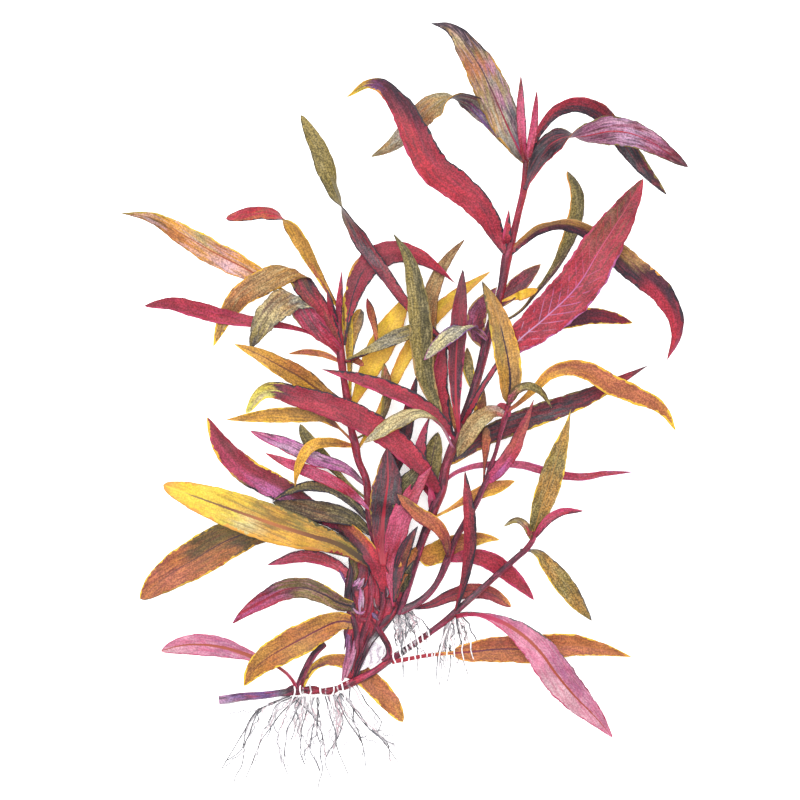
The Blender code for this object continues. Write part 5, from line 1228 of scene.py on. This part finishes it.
leaf("big_yellow_leaf", [(373, 567), (340, 545), (297, 532), (250, 516), (205, 500), (163, 485)], 12.4,
     (0.54, 1.1, 0.5), "leaf_yellow",
     "rust@0 ochre@0.1 gold@0.3 amber@0.4 gold@0.5 straw@0.6 lemon@0.68 yellow@0.78 yellow@0.93 orange",
     "ochre olive@0.15 ochre@0.28 khaki@0.38 gold@0.5 khaki@0.58 yellow@0.68 lemon@0.8 yellow orange",
     side=1, streak="umber khaki umber@0.5 khaki@0.65 yellow@0.82 yellow",
     rim="brown@0 wine@0.2 amber@0.4 orange@0.7 orange|ink@0 moss@0.3 khaki@0.5 yellow@0.7 orange@0.9 "
         "orange", rim_width=0.55,
     rib="ink@0 umber@0.15 brown@0.3 rust@0.5 brown@0.7 khaki@0.86 lemon@0.9", rib_width=0.9,
     scallop=0.02)
leaf("magenta_leaf_crown", [(394, 606), (390, 580), (391, 562), (395, 540), (401, 518), (412, 495),
     (432, 466)], 7.0, (0.56, 1.5, 0.9), "leaf_magenta",
     "crimson rose@0.15 crimson@0.3 rose crimson rose",
     "crimson rose@0.2 crimson@0.4 rose@0.6 crimson wine", on="left_stem",
     heights=(8.2, 9.0, 10, 11.5, 12.5, 13, 13), streak="rose", streak_share=0.3, rim="magenta|wine",
     rim_width=0.2)
leaf("plum_leaf_crown", [(383, 566), (382, 540), (384, 510), (388, 480), (387, 448)], 10.0,
     (0.6, 0.75, 0.8), "leaf_plum",
     "crimson scarlet@0.12 wine@0.22 damson@0.35 slate@0.6 damson@0.85 ink",
     "scarlet crimson@0.12 maroon@0.22 damson@0.35 slate@0.6 damson@0.85 ink", heights=(8.6, 9, 9, 9, 9),
     streak="ink damson wine", streak_share=0.4,
     rim="wine@0.2 khaki@0.4 amber@0.7 ink|crimson@0.2 ink@0.4 ink", rim_width=0.3,
     rib="crimson@0 wine@0.2 crimson@0.4 crimson@0.6 wine", rib_width=0.8)

# Leaves of the tall shoot
# The top of the plant: long arching leaves with crimson upper sides, dark hoods and dried tan
# undersides, and one broad crimson leaf with pale violet veins.
leaf("red_leaf_middle", [(436, 505), (421, 472), (422, 440), (430, 416)], 4.6, (0.46, 1.35, 0.95),
     "leaf_crimson", "wine crimson magenta", on="tall_stem", heights=(10.9, 12, 13, 14))
leaf("olive_leaf_tall_middle", [(456, 440), (435, 402), (424, 370), (421, 330), (416, 290), (407, 255),
     (393, 233)], 7.4, (0.45, 0.8, 0.85), "leaf_olive", "khaki olive khaki khaki olive",
     "khaki moss moss moss moss", rim="tan tan khaki moss", rim_width=0.35, stalk=0.14)
leaf("crimson_leaf_upright_middle", [(459, 434), (456, 400), (456, 360), (459, 320), (463, 269)], 5.6,
     (0.6, 0.8, 0.8), "leaf_crimson", "wine damson@0.2 maroon@0.4 damson@0.6 wine@0.75 maroon ink",
     "crimson damson@0.25 damson@0.4 maroon@0.6 wine@0.75 maroon ink", side=1,
     rim="crimson@0.3 damson|magenta@0.3 ink", rim_width=0.3, rib="crimson crimson@0.6 maroon@0.75",
     rib_width=0.45)
leaf("crimson_leaf_across_middle", [(456, 440), (436, 415), (405, 396), (370, 382), (345, 375),
     (321, 369)], 5.2, (0.5, 0.7, 1.0), "leaf_crimson", "wine crimson wine wine crimson",
     "wine wine crimson wine crimson", side=1, rim="magenta|ink")
leaf("crimson_leaf_across_left", [(440, 492), (410, 455), (372, 425), (330, 406), (295, 396), (268, 391),
     (252, 398), (246, 413)], 8.2, (0.45, 0.65, 0.5), "leaf_crimson",
     "wine wine@0.15 crimson@0.3 wine@0.5 crimson@0.65 wine@0.76 damson@0.83 lime@0.85 straw@0.9 lime",
     "wine crimson@0.2 crimson@0.4 wine@0.6 wine@0.76 damson@0.83 lemon@0.85 lime", side=1,
     rim="magenta wine@0.83 lemon@0.86|damson@0.1 ink@0.83 khaki@0.86 lemon")
leaf("beige_leaf_middle", [(453, 448), (440, 424), (424, 413), (400, 419), (380, 432), (363, 443)], 5.0,
     (0.55, 0.7, 0.8), "leaf_tan", "wine crimson@0.2 mauve",
     under="crimson@0.22 tan@0.3 straw@0.4 sand straw ash", roll=(0, 150, 180), streak="slate",
     streak_share=0.45, rim="mauve khaki gold", rim_width=0.2, stalk=0.2)
leaf("grey_leaf_front_middle", [(487, 340), (478, 330), (464, 327), (448, 336), (436, 347), (424, 360)],
     5.4, (0.55, 0.7, 0.8), "leaf_grey", "wine violet violet",
     under="crimson@0.2 straw@0.35 ash straw ash", roll=(0, 150, 180), streak="slate", streak_share=0.5,
     rim="mauve violet mauve", rim_width=0.25)
leaf("brown_leaf_by_stalk", [(466, 418), (478, 414), (484, 388)], 3.6, (0.46, 1.35, 0.95), "leaf_rust",
     "wine brick brown brown", on="tall_stem", heights=(14.2, 16, 17))
leaf("crown_leaf_upright", [(524, 160), (510, 132), (496, 100), (482, 70), (463, 42), (447, 26),
     (430, 23)], 11.0, (0.45, 0.85, 1.05), "leaf_mauve",
     "umber@0 grey@0.14 tan@0.26 umber@0.4 tan@0.52 rust@0.62 tan@0.74 sand@0.8 tan@0.86 ink@0.94 ink",
     "ink violet@0.1 ink@0.2 slate@0.3 mauve@0.4 grey@0.5 mauve@0.58 khaki@0.65 ink@0.72 ink@0.84 "
     "damson@0.9 ink", side=1, roll=(0, 10, 0),
     streak="ink@0 ash@0.25 khaki@0.45 rust@0.6 umber@0.8 ink@0.92 ink", streak_share=0.75,
     rim="umber gold umber gold ink ink|ink slate@0.3 khaki@0.45 gold@0.58 ink@0.66 ink", rim_width=0.35,
     rib="magenta wine damson damson ink", rib_width=0.35)
leaf("bud_leaf_top_1", [(525, 168), (521, 115), (521, 75)], 2.9, (0.55, 0.7, 0.85), "leaf_magenta",
     "rust crimson@0.3 rose@0.6 wine@0.85 olive", "crimson magenta rose wine", on="tall_stem",
     heights=(20.3, 23, 25), rim="wine|damson", rim_width=0.2)
leaf("bud_leaf_top_2", [(526, 168), (534, 125), (537, 90)], 2.5, (0.55, 0.7, 0.85), "leaf_magenta",
     "crimson rose@0.3 magenta wine", "wine crimson rose wine", on="tall_stem", heights=(20.3, 22, 23),
     rim="wine|wine", rim_width=0.2)
leaf("crown_leaf_hooded_right", [(525, 190), (536, 165), (549, 144), (573, 137), (598, 134), (622, 131),
     (645, 139), (665, 151), (688, 167)], 9.8, (0.42, 1.25, 0.65), "leaf_mauve",
     "crimson@0 damson@0.05 ink@0.12 ink@0.34", "crimson@0 wine@0.06 damson@0.13 ink@0.2 ink@0.34",
     under="magenta@0.25 mauve@0.33 mauve@0.5 lilac@0.65 mauve@0.8 wine@0.9 damson@0.97",
     roll=(0, 10, 150, 180, 180), skins=("leaf_plum", "leaf_mauve"),
     streak="damson slate@0.25 damson@0.4 wine@0.7 damson",
     rim="ink@0.25 khaki@0.35 khaki damson|crimson@0.3 olive@0.4 damson", rim_width=0.25,
     rib="damson@0.2 crimson@0.3 crimson maroon", stalk=0.04)
leaf("crimson_leaf_arching_left", [(506, 254), (486, 215), (462, 190), (432, 166), (412, 128), (395, 98),
     (372, 83), (357, 83), (347, 97)], 10.2, (0.45, 0.9, 0.8), "leaf_crimson",
     "wine crimson@0.1 scarlet@0.6 maroon@0.74 plum@0.82 violet@0.9 lemon@0.93 lemon",
     "wine crimson@0.1 crimson@0.4 wine@0.6 damson@0.68 ink@0.84 violet@0.89 yellow@0.93 lemon",
     roll=(0, 0, 0, 25, 50), streak="damson", streak_share=0.3,
     rim="damson crimson magenta@0.5 crimson@0.8 yellow@0.93|ink@0.1 ink@0.85 amber@0.93", rim_width=0.45)
leaf("bud_leaf_node", [(508, 262), (507, 237), (509, 209)], 2.8, (0.46, 1.35, 0.95), "leaf_crimson",
     "wine crimson scarlet", on="tall_stem", heights=(18.5, 22, 23))
leaf("crimson_leaf_arching_right", [(508, 256), (522, 242), (542, 228), (566, 223), (590, 233),
     (618, 255), (645, 279), (668, 301), (677, 330), (667, 361)], 8.2, (0.58, 0.7, 0.95), "leaf_crimson",
     "wine@0 tan@0.1 ochre@0.3 ochre@0.48 tan@0.56 damson@0.62 damson@0.7 ink@0.76 wine@0.84 crimson",
     "wine@0 damson@0.12 ink@0.3 ink@0.5 ink@0.6 crimson@0.66 crimson@0.76 scarlet",
     roll=(0, -60, -10, 0, 0),
     rim="wine@0 ochre@0.1 tan@0.5 orange@0.66 ink@0.72 ink@0.82 magenta|ink@0 ink@0.62 crimson@0.7 wine",
     rim_width=0.5)
leaf("big_crimson_leaf", [(463, 424), (480, 391), (498, 364), (517, 342), (545, 318), (572, 293),
     (597, 254), (622, 215), (643, 179)], 14.0, (0.45, 0.5, 0.7), "leaf_crimson",
     "wine crimson@0.3 crimson@0.4 crimson@0.5 crimson@0.7 brown@0.85 maroon@0.92 umber",
     "wine crimson@0.3 crimson@0.5 crimson@0.7 wine@0.9 crimson", side=1,
     streak="wine@0 damson@0.5 umber@0.8 umber", streak_share=0.4,
     rim="ink@0 ink@0.25 magenta@0.32 magenta@0.7 wine|ink@0 ink@0.25 orchid@0.35 orchid@0.7 wine "
         "crimson", rim_width=0.3, rib="wine@0.2 lilac@0.34 orchid@0.6 rose@0.75 crimson", rib_width=0.3,
     veins="wine@0.3 lilac@0.36 orchid@0.55 rose@0.68 crimson@0.75 crimson", vein_share=0.7, stalk=0.3,
     wave=0.6, quilt=0.1)
leaf("plum_leaf_crown_small", [(394, 602), (397, 582), (401, 562), (408, 543), (418, 526)], 4.4,
     (0.55, 1.0, 0.9), "leaf_plum", "damson ink damson ink", "wine maroon brown maroon", on="tall_stem",
     heights=(8.4, 9, 9.5, 11, 12), rim="ink", rim_width=0.3)
leaf("orange_leaf_crown_small", [(397, 598), (399, 583), (406, 565), (418, 546)], 4.4, (0.6, 0.8, 0.8),
     "leaf_rust", "ochre rust orange rust", "damson rust terracotta rust", on="tall_stem",
     heights=(9.8, 11.5, 13.0, 14.0), rim="ink|ink", rim_width=0.2)
leaf("olive_leaf_crown_small", [(399, 602), (403, 586), (408, 572), (414, 560)], 3.4, (0.5, 1.0, 0.9),
     "leaf_olive", "damson ink moss ink", "ink moss ink", on="tall_stem", heights=(9.0, 10.0, 10.5, 11),
     rim="ink", rim_width=0.3)
leaf("olive_leaf_crown", [(404, 530), (398, 508), (403, 488), (418, 468)], 5.4, (0.55, 0.9, 0.8),
     "leaf_olive", "damson moss olive moss damson", "damson olive moss ink", on="tall_stem",
     heights=(10.5, 11.5, 12, 12), rim="ink|ink")
leaf("pink_bud_leaf", [(432, 520), (432, 500), (429, 483)], 2.8, (0.46, 1.35, 0.95), "leaf_pink",
     "magenta rose magenta", on="tall_stem", heights=(10.2, 15, 16))

# Leaves of the middle shoot and the runner
# The middle shoot ends in a thin pink stalk with a tuft of leaves. The runner turns up at its end,
# beside two olive leaves and two small ones, and a big pink leaf lies at its foot.
leaf("terracotta_leaf_middle", [(448, 557), (446, 541), (436, 525), (418, 514), (396, 493)], 4.8,
     (0.6, 0.7, 0.7), "leaf_rust", "damson maroon@0.22 brick@0.35 terracotta brick rust",
     "damson maroon@0.25 brick@0.4 terracotta brown brick", side=1,
     rim="wine@0 ink@0.3 wine@0.5 ink|wine@0.3 amber@0.5 amber@0.7 ink", rim_width=0.25)
leaf("plum_leaf_upright_right", [(455, 612), (462, 590), (469, 555), (470, 525), (465, 471)], 4.2,
     (0.6, 0.7, 0.8), "leaf_plum", "plum maroon wine crimson wine", "damson damson maroon wine", side=1)
leaf("gold_leaf_stalk", [(509, 402), (510, 375), (505, 345), (497, 315), (482, 281)], 8.2,
     (0.42, 0.8, 0.8), "leaf_gold", "ochre gold khaki ochre khaki", "ochre tan gold ochre khaki", side=1,
     streak="tan", streak_share=0.4,
     rim="ochre orange@0.3 yellow@0.5 olive ink|orange yellow orange moss",
     rib="plum ink@0.2 damson@0.35 ink@0.6 ochre@0.68", rib_width=0.45)
leaf("gold_leaf_arching_right", [(506, 412), (524, 399), (541, 383), (560, 369), (585, 370), (612, 385),
     (642, 398), (662, 409), (676, 431)], 6.6, (0.58, 1.15, 0.85), "leaf_gold",
     "wine@0 amber@0.15 rust@0.3 terracotta@0.5 terracotta@0.8 orange",
     "wine@0 amber@0.2 rust@0.4 terracotta@0.7 rust", skins=("leaf_rust", "leaf_rust"),
     rim="wine@0 amber@0.2 yellow", rim_width=0.42)
leaf("beige_leaf_stalk", [(506, 416), (496, 411), (482, 417), (470, 431), (457, 457)], 6.0,
     (0.55, 0.6, 0.8), "leaf_tan", "magenta tan@0.25 sand@0.4 tan umber",
     "lilac tan@0.3 tan umber@0.8 khaki", on="middle_shoot", heights=(16.3, 20, 22, 20),
     rim="khaki|umber", rim_width=0.15)
leaf("crimson_bud_leaf_stalk", [(509, 417), (505, 409), (497, 405)], 3.0, (0.55, 0.4, 0.35),
     "leaf_crimson", "magenta crimson@0.3 crimson", "magenta wine@0.4 crimson", on="middle_shoot",
     heights=(16.8, 23.5, 24.5), rim="wine|magenta", rim_width=0.2)
leaf("olive_curl_leaf_stalk", [(508, 405), (516, 391), (527, 386), (540, 391), (552, 408)], 2.8,
     (0.5, 0.6, 0.8), "leaf_olive", "magenta rose@0.3 khaki@0.5 khaki", on="middle_shoot",
     heights=(16.9, 24, 25, 24), rim="umber")
leaf("pink_leaf_middle_right", [(487, 482), (500, 468), (513, 450), (521, 432), (528, 415), (534, 399)],
     4.8, (0.35, 0.6, 1.0), "leaf_magenta", "magenta rose@0.2 brick@0.5 wine brick",
     "magenta orchid@0.2 crimson@0.4 brick wine", on="middle_shoot", heights=(12.2, 17, 18, 18),
     skins=("leaf_crimson", "leaf_crimson"), rim="damson|wine", rim_width=0.15)
leaf("rust_leaf_middle", [(483, 488), (485, 462), (487, 427)], 3.0, (0.8, 0.7, 0.35), "leaf_rust",
     "wine wine@0.3 brick@0.6 brick brown", "crimson wine@0.3 brick@0.6 brick brown", on="middle_shoot",
     heights=(11.8, 16, 18), rim="brown|ink", rim_width=0.2)
leaf("olive_leaf_runner", [(534, 532), (541, 508), (549, 485), (558, 455), (566, 430), (571, 409)], 7.6,
     (0.42, 0.8, 1.3), "leaf_olive", "olive khaki@0.2 ochre khaki@0.6 ochre khaki",
     "olive ochre@0.2 ochre khaki@0.6 gold ochre", side=1,
     rim="yellow@0.3 umber@0.5 yellow@0.7|slate yellow slate", rim_width=0.3, rib="ochre", rib_width=0.2)
leaf("pink_leaf_runner", [(532, 541), (548, 520), (562, 512), (584, 511)], 2.8, (0.55, 0.6, 0.8),
     "leaf_magenta", "wine crimson magenta crimson", "wine magenta crimson wine", on="runner_shoot",
     heights=(8.4, 8.4, 8.6))
leaf("curl_leaf_runner", [(532, 541), (526, 526), (516, 520), (503, 527)], 2.4, (0.5, 0.6, 0.8),
     "leaf_tan", "wine crimson@0.4 slate@0.6 khaki", "wine crimson@0.4 khaki@0.6 grey", on="runner_shoot",
     heights=(8.4, 10, 10))
leaf("olive_leaf_runner_low", [(520, 550), (536, 552), (550, 567), (563, 583), (577, 602), (592, 621)],
     6.4, (0.5, 0.8, 0.85), "leaf_olive", "damson@0 umber@0.12 ochre@0.3 khaki@0.5 ochre khaki",
     "ink@0 khaki@0.15 ochre@0.4 khaki@0.6 ochre khaki",
     rim="slate@0.1 umber slate|slate@0.1 yellow@0.2 yellow@0.6 umber", rim_width=0.3, stalk=0.1)
leaf("big_pink_leaf", [(456, 616), (478, 614), (505, 624), (529, 640), (548, 662), (565, 686), (590, 711),
     (613, 738)], 10.8, (0.52, 1.15, 0.9), "leaf_pink",
     "wine@0 magenta@0.12 mauve@0.22 pink@0.4 mauve@0.6 pink",
     "wine@0 magenta@0.12 rose@0.2 pink@0.35 pink@0.5 blush@0.65 pink", side=1, streak="rose",
     streak_share=0.3, rim="slate@0.1 slate@0.4 magenta|rose", rim_width=0.25,
     rib="wine@0 magenta@0.2 brick@0.3 brick brick@0.9 rose", rib_width=0.75, stalk=0.12)

# Leaves of the crown and the rhizome
# The lowest leaves lie on the table beside the crown: a gold one, one that is olive at its base and
# crimson at its tip, and a pale pink one with a brick midrib. Two small ones rise from the crown.
leaf("pink_leaf_under_yellow", [(368, 598), (352, 580), (340, 567), (322, 559), (303, 556), (285, 560),
     (267, 565)], 4.2, (0.6, 0.8, 0.8), "leaf_magenta", "crimson crimson crimson magenta", on="trunk",
     heights=(6.8, 7, 6, 5), free=True)
leaf("plum_leaf_left_stalk", [(390, 598), (380, 572), (366, 548), (351, 532), (339, 521)], 5.4,
     (0.45, 0.35, 0.3), "leaf_crimson", "wine crimson@0.2 wine@0.4 damson@0.6 maroon@0.8 brown",
     "scarlet crimson@0.3 scarlet@0.5 rust@0.7 brick@0.85 rust", on="trunk",
     heights=(8.6, 10.6, 12.6, 10.5, 3.5), free=True, rim="ink|damson@0.3 amber@0.6 amber", rim_width=0.2)
leaf("crimson_leaf_low_left", [(366, 608), (342, 604), (325, 595), (305, 588), (284, 590), (266, 599),
     (248, 610), (232, 624)], 6.8, (0.5, 0.7, 0.8), "leaf_magenta",
     "damson@0 moss@0.08 khaki@0.25 olive@0.48 plum@0.54 wine@0.65 magenta@0.8 wine",
     "damson@0 olive@0.1 moss@0.4 olive@0.58 damson@0.64 wine@0.7 crimson@0.85 wine",
     streak="damson@0 umber@0.5 mauve@0.6 orchid", streak_share=0.5,
     rim="damson@0 moss@0.5 crimson@0.6 wine|khaki@0 yellow@0.25 moss@0.55 ink@0.62 wine", rim_width=0.2,
     rib="ink@0.1 damson@0.45 wine@0.6", rib_width=0.4)
leaf("gold_leaf_low_left", [(364, 626), (342, 621), (320, 629), (296, 642), (272, 655), (255, 669),
     (244, 686)], 10.0, (0.5, 0.85, 0.7), "leaf_gold", "ochre rust@0.3 ochre@0.5 rust@0.7 gold",
     "wine ochre@0.2 rust ochre rust", rim="amber yellow yellow", rim_width=0.35,
     rib="plum maroon@0.5 brown", rib_width=0.4)
leaf("pale_pink_leaf", [(297, 690), (288, 674), (270, 664), (245, 654), (215, 646), (185, 645),
     (161, 651)], 7.2, (0.62, 1.0, 0.65), "leaf_pink", "wine rose@0.2 pink@0.35 mauve@0.55 pink blush",
     "wine magenta@0.2 pink@0.35 mauve@0.6 pink pink", side=1, streak="rose", streak_share=0.3,
     rim="rose|rose", rim_width=0.15, rib="wine@0.1 brick@0.3 brick@0.5 brick brick", rib_width=0.95,
     stalk=0.2)

# Roots
# Three tufts of hair-thin roots run out over the table, kinked and crossing. The dark ones are the
# oldest. Paler ones fork off them, and the finest are almost as white as the table.
ROOT_TUFTS = {    # the heights in mm along a tuft's roots, then their routes
    "rhizome_roots": ((1.2, 1.4, 0.8, 0.5), [
        [(290, 696), (262, 708), (240, 738), (222, 768)], [(296, 697), (274, 722), (257, 750), (246, 778)],
        [(303, 696), (288, 730), (284, 760), (288, 776)], [(310, 696), (303, 728), (300, 752), (305, 765)],
        [(317, 697), (318, 735), (322, 765), (318, 790)], [(325, 696), (334, 728), (338, 750), (348, 774)],
        [(333, 695), (350, 722), (362, 745), (366, 768)], [(341, 693), (360, 718), (380, 738), (398, 762)],
        [(290, 695), (270, 705), (257, 711), (248, 722), (244, 742), (241, 750), (225, 762)],
        [(262, 708), (256, 715), (252, 727), (245, 745), (242, 765), (236, 775), (234, 783)],
        [(292, 697), (275, 707), (270, 717), (268, 722), (271, 728), (267, 738)],
        [(300, 697), (295, 705), (297, 718), (293, 735), (291, 740)],
        [(296, 700), (305, 708), (313, 717), (312, 735), (310, 750), (316, 762), (320, 772)],
        [(314, 716), (322, 735), (325, 755)], [(318, 697), (319, 710), (320, 722)],
        [(340, 694), (335, 705), (340, 712), (343, 725), (337, 738), (330, 750), (325, 762), (331, 778)],
        [(350, 688), (350, 705), (357, 710), (365, 722), (370, 730), (380, 735), (388, 745), (390, 762)],
        [(356, 684), (368, 705), (378, 718), (382, 722), (378, 735), (388, 742), (400, 745)],
        [(351, 700), (356, 728), (361, 738), (363, 748), (362, 757)],
    ]),
    "crown_roots": ((3.6, 3.6, 3.3, 0.5), [
        [(392, 614), (395, 630), (395, 640), (397, 646)], [(398, 613), (402, 636), (402, 655), (404, 678)],
        [(403, 612), (413, 630), (417, 646), (418, 672)], [(408, 612), (424, 622), (431, 640), (432, 656)],
        [(405, 611), (406, 626), (404, 641)], [(412, 611), (417, 622), (409, 632)],
        [(400, 613), (399, 628), (398, 641)],
    ]),
    "runner_roots": ((1.2, 1.3, 0.8, 0.5), [
        [(448, 620), (440, 645), (437, 664), (436, 686)], [(452, 618), (449, 645), (450, 665), (447, 684)],
        [(456, 614), (460, 640), (462, 656), (468, 674)], [(459, 612), (472, 630), (478, 645), (488, 660)],
        [(450, 620), (455, 632), (447, 641)], [(455, 616), (466, 634), (459, 645)],
    ]),
}
ROOT_RADIUS = 0.24 * MM
ROOT_TIP_RADIUS = 0.14 * MM
FORK_END = 0.3 * MM
# The steps along a root, and how far it sways.
DARK_KINKS, FORK_KINKS = (26, 0.25 * MM), (12, 0.5 * MM)
FINE_KINKS, WHITE_KINKS = (24, 0.7 * MM), (12, 0.12 * MM)
FORK_PLACE, FORK_TURN, FORK_LENGTH = (0.3, 0.7), (0.3, 0.8), (0.5, 0.9)    # least and most
FINE_PLACES = (0.0, 0.33, 0.66, 1.0)
LONG_SHARE = 0.5    # of the fine roots; the others end at the third of those places
WHITE_BRIGHTNESS = 1.7
# How many fine roots run between the main ones: pale ones, then mid ones.
FINE_ROOTS = {"rhizome_roots": (26, 14), "crown_roots": (10, 8), "runner_roots": (8, 5)}
# White rootlets that cross over the stems: their routes, and the heights in mm along each.
CROSSING_ROOTS = {
    "rhizome_roots": ([
        [(301, 682), (300, 690), (303, 699), (302, 712)], [(309, 683), (311, 691), (309, 700), (311, 715)],
        [(321, 683), (320, 691), (323, 699), (322, 716)], [(333, 682), (334, 690), (331, 699), (334, 714)],
        [(341, 681), (343, 689), (345, 698), (344, 712)], [(294, 684), (295, 692), (292, 700), (288, 712)],
    ], (3.0, 3.5, 2.2, 0.6)),
    "crown_roots": ([
        [(398, 640), (400, 650), (402, 661), (401, 672)], [(404, 634), (406, 645), (409, 657), (408, 671)],
        [(409, 632), (411, 642), (415, 656), (416, 671)], [(415, 630), (417, 639), (421, 655), (420, 670)],
        [(421, 628), (423, 640), (427, 654), (426, 668)], [(427, 626), (430, 638), (432, 653), (430, 668)],
        [(395, 645), (393, 656), (396, 664), (395, 672)],
    ], (2.6, 4.4, 6.2, 2.0)),
    "runner_roots": ([
        [(447, 630), (443, 641), (440, 652), (438, 668)], [(450, 626), (449, 640), (447, 653), (446, 672)],
        [(455, 624), (456, 638), (454, 652), (457, 668)], [(459, 622), (463, 638), (462, 650), (466, 668)],
        [(464, 622), (470, 636), (471, 650), (475, 664)], [(451, 622), (444, 636), (436, 650), (433, 664)],
    ], (2.4, 5.0, 6.2, 5.0)),
}
# Inks, and how thick the roots are beside the radii above.
ROOT_SHADES = {
    "dark": ("pewter slate slate pewter", 1.0),
    "mid": ("pewter pearl pewter", 0.85),
    "pale": ("pearl white blush white", 0.8),
    "white": ("white", 1.25),
}
ROOT_SEED = 7
PATCH = 40    # vertices that share a colour
ROOT_ROUGHNESS, PEARL_PER_MM, PEARL_EDGES = 0.75, 0.4, (0.52, 0.7)
root_luck = np.random.default_rng(ROOT_SEED)


def root_finish():
    """Pale wet skin, patched with pearl."""
    finish, tree, shader = new_finish("root_white", ROOT_ROUGHNESS)
    tint = attribute(tree, "tint").outputs["Color"]
    patch = ease(tree, grain_of(tree, PEARL_PER_MM), *PEARL_EDGES)
    tree.links.new(blend(tree, patch, tint, (*ink("pearl"), 1)), shader.inputs["Base Color"])
    return finish


root_white = root_finish()


def kinked(marks, steps, sway):
    """Points along a root that wanders from side to side, less at its ends."""
    knots = chord_knots(marks)
    waves = []
    for _ in range(3):
        waves.append((root_luck.uniform(1, 5), root_luck.uniform(0, 6.3), root_luck.normal(0, sway)))
    points = []
    for step in range(steps + 1):
        place = step / steps
        ahead = (marks[-1] - marks[0]).normalized()
        drift = sum(size * math.sin(turns * math.pi * 2 * place + phase) / turns ** 0.5
                    for turns, phase, size in waves)
        drift = (drift + root_luck.normal(0, sway * 0.25)) * math.sin(math.pi * min(place * 1.3, 0.9))
        points.append(flow(knots, marks, place) + Vector((-ahead.y, ahead.x, 0)) * drift)
    return points


def draw_roots(name, strands, thickness):
    """Many roots in one mesh, each thinner to its tip."""
    bpy.ops.curve.primitive_bezier_curve_add()
    tuft = bpy.context.object
    tuft.name = name
    tuft.location = (0, 0, 0)
    tuft.data.splines.clear()
    for points in strands:
        spline = tuft.data.splines.new("POLY")
        spline.points.add(len(points) - 1)
        for number, (knot, point) in enumerate(zip(spline.points, points)):
            share = number / (len(points) - 1)
            radius = thickness * (ROOT_RADIUS + (ROOT_TIP_RADIUS - ROOT_RADIUS) * share)
            knot.co = (point.x, point.y, max(point.z, radius + LOWEST), 1)
            knot.radius = radius
    tuft.data.twist_mode = "Z_UP"
    tuft.data.use_fill_caps = True
    tuft.data.bevel_depth = 1.0
    tuft.data.bevel_resolution = 1
    return to_mesh(tuft)


def root_tuft(name, heights, strands):
    """A tuft: its drawn roots with a fork on each, fine ones between them, and white ones across."""
    groups = {"dark": [], "mid": [], "pale": [], "white": []}
    lines = []
    for strand in strands:
        levels = np.interp(np.linspace(0, 1, len(strand)), np.linspace(0, 1, len(heights)), heights)
        marks = [spot(right, down, level * MM) for (right, down), level in zip(strand, levels)]
        lines.append(marks)
        groups["dark"].append(kinked(marks, *DARK_KINKS))
        place = root_luck.uniform(*FORK_PLACE)
        first = flow(chord_knots(marks), marks, place)
        ahead = (marks[-1] - marks[0]).normalized()
        turn = root_luck.choice((-1, 1)) * root_luck.uniform(*FORK_TURN)
        heading = Vector((ahead.x * math.cos(turn) - ahead.y * math.sin(turn),
                          ahead.x * math.sin(turn) + ahead.y * math.cos(turn), 0))
        left_over = (marks[-1] - marks[0]).length * (1 - place)
        last = first + heading * (left_over * root_luck.uniform(*FORK_LENGTH))
        last.z = FORK_END
        groups["mid"].append(kinked([first, last], *FORK_KINKS))
    order = sorted(lines, key=lambda marks: marks[-1].x)
    for shade, count in zip(("pale", "mid"), FINE_ROOTS[name]):
        for _ in range(count):
            pick = root_luck.uniform(0, len(order) - 1.001)
            low, start_mix, end_mix = int(pick), root_luck.random(), root_luck.random()
            marks = []
            for place in FINE_PLACES:
                mix = start_mix + (end_mix - start_mix) * place
                points = [flow(chord_knots(line), line, place) for line in order[low:low + 2]]
                marks.append(points[0] * (1 - mix) + points[1] * mix)
            reach = len(FINE_PLACES) - (0 if root_luck.random() < LONG_SHARE else 1)
            groups[shade].append(kinked(marks[:reach], *FINE_KINKS))
    crossings, levels = CROSSING_ROOTS[name]
    for strand in crossings:
        marks = [spot(*mark, level * MM) for mark, level in zip(strand, levels)]
        groups["white"].append(kinked(marks, *WHITE_KINKS))
    for shade, points in groups.items():
        words, thickness = ROOT_SHADES[shade]
        tuft = draw_roots(f"{name}_{shade}", points, thickness)
        count = len(tuft.data.vertices)
        cloud = root_luck.uniform(0, 1, count // PATCH + 1).repeat(PATCH)[:count]
        paint(tuft, "tint", inks_along(words, cloud) * (WHITE_BRIGHTNESS if shade == "white" else 1.0))
        tuft.data.materials.append(root_white)
        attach(tuft, "root")
        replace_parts(tuft, name)


for name, (heights, strands) in ROOT_TUFTS.items():
    root_tuft(name, heights, strands)

bpy.data.objects.remove(stem_ring)
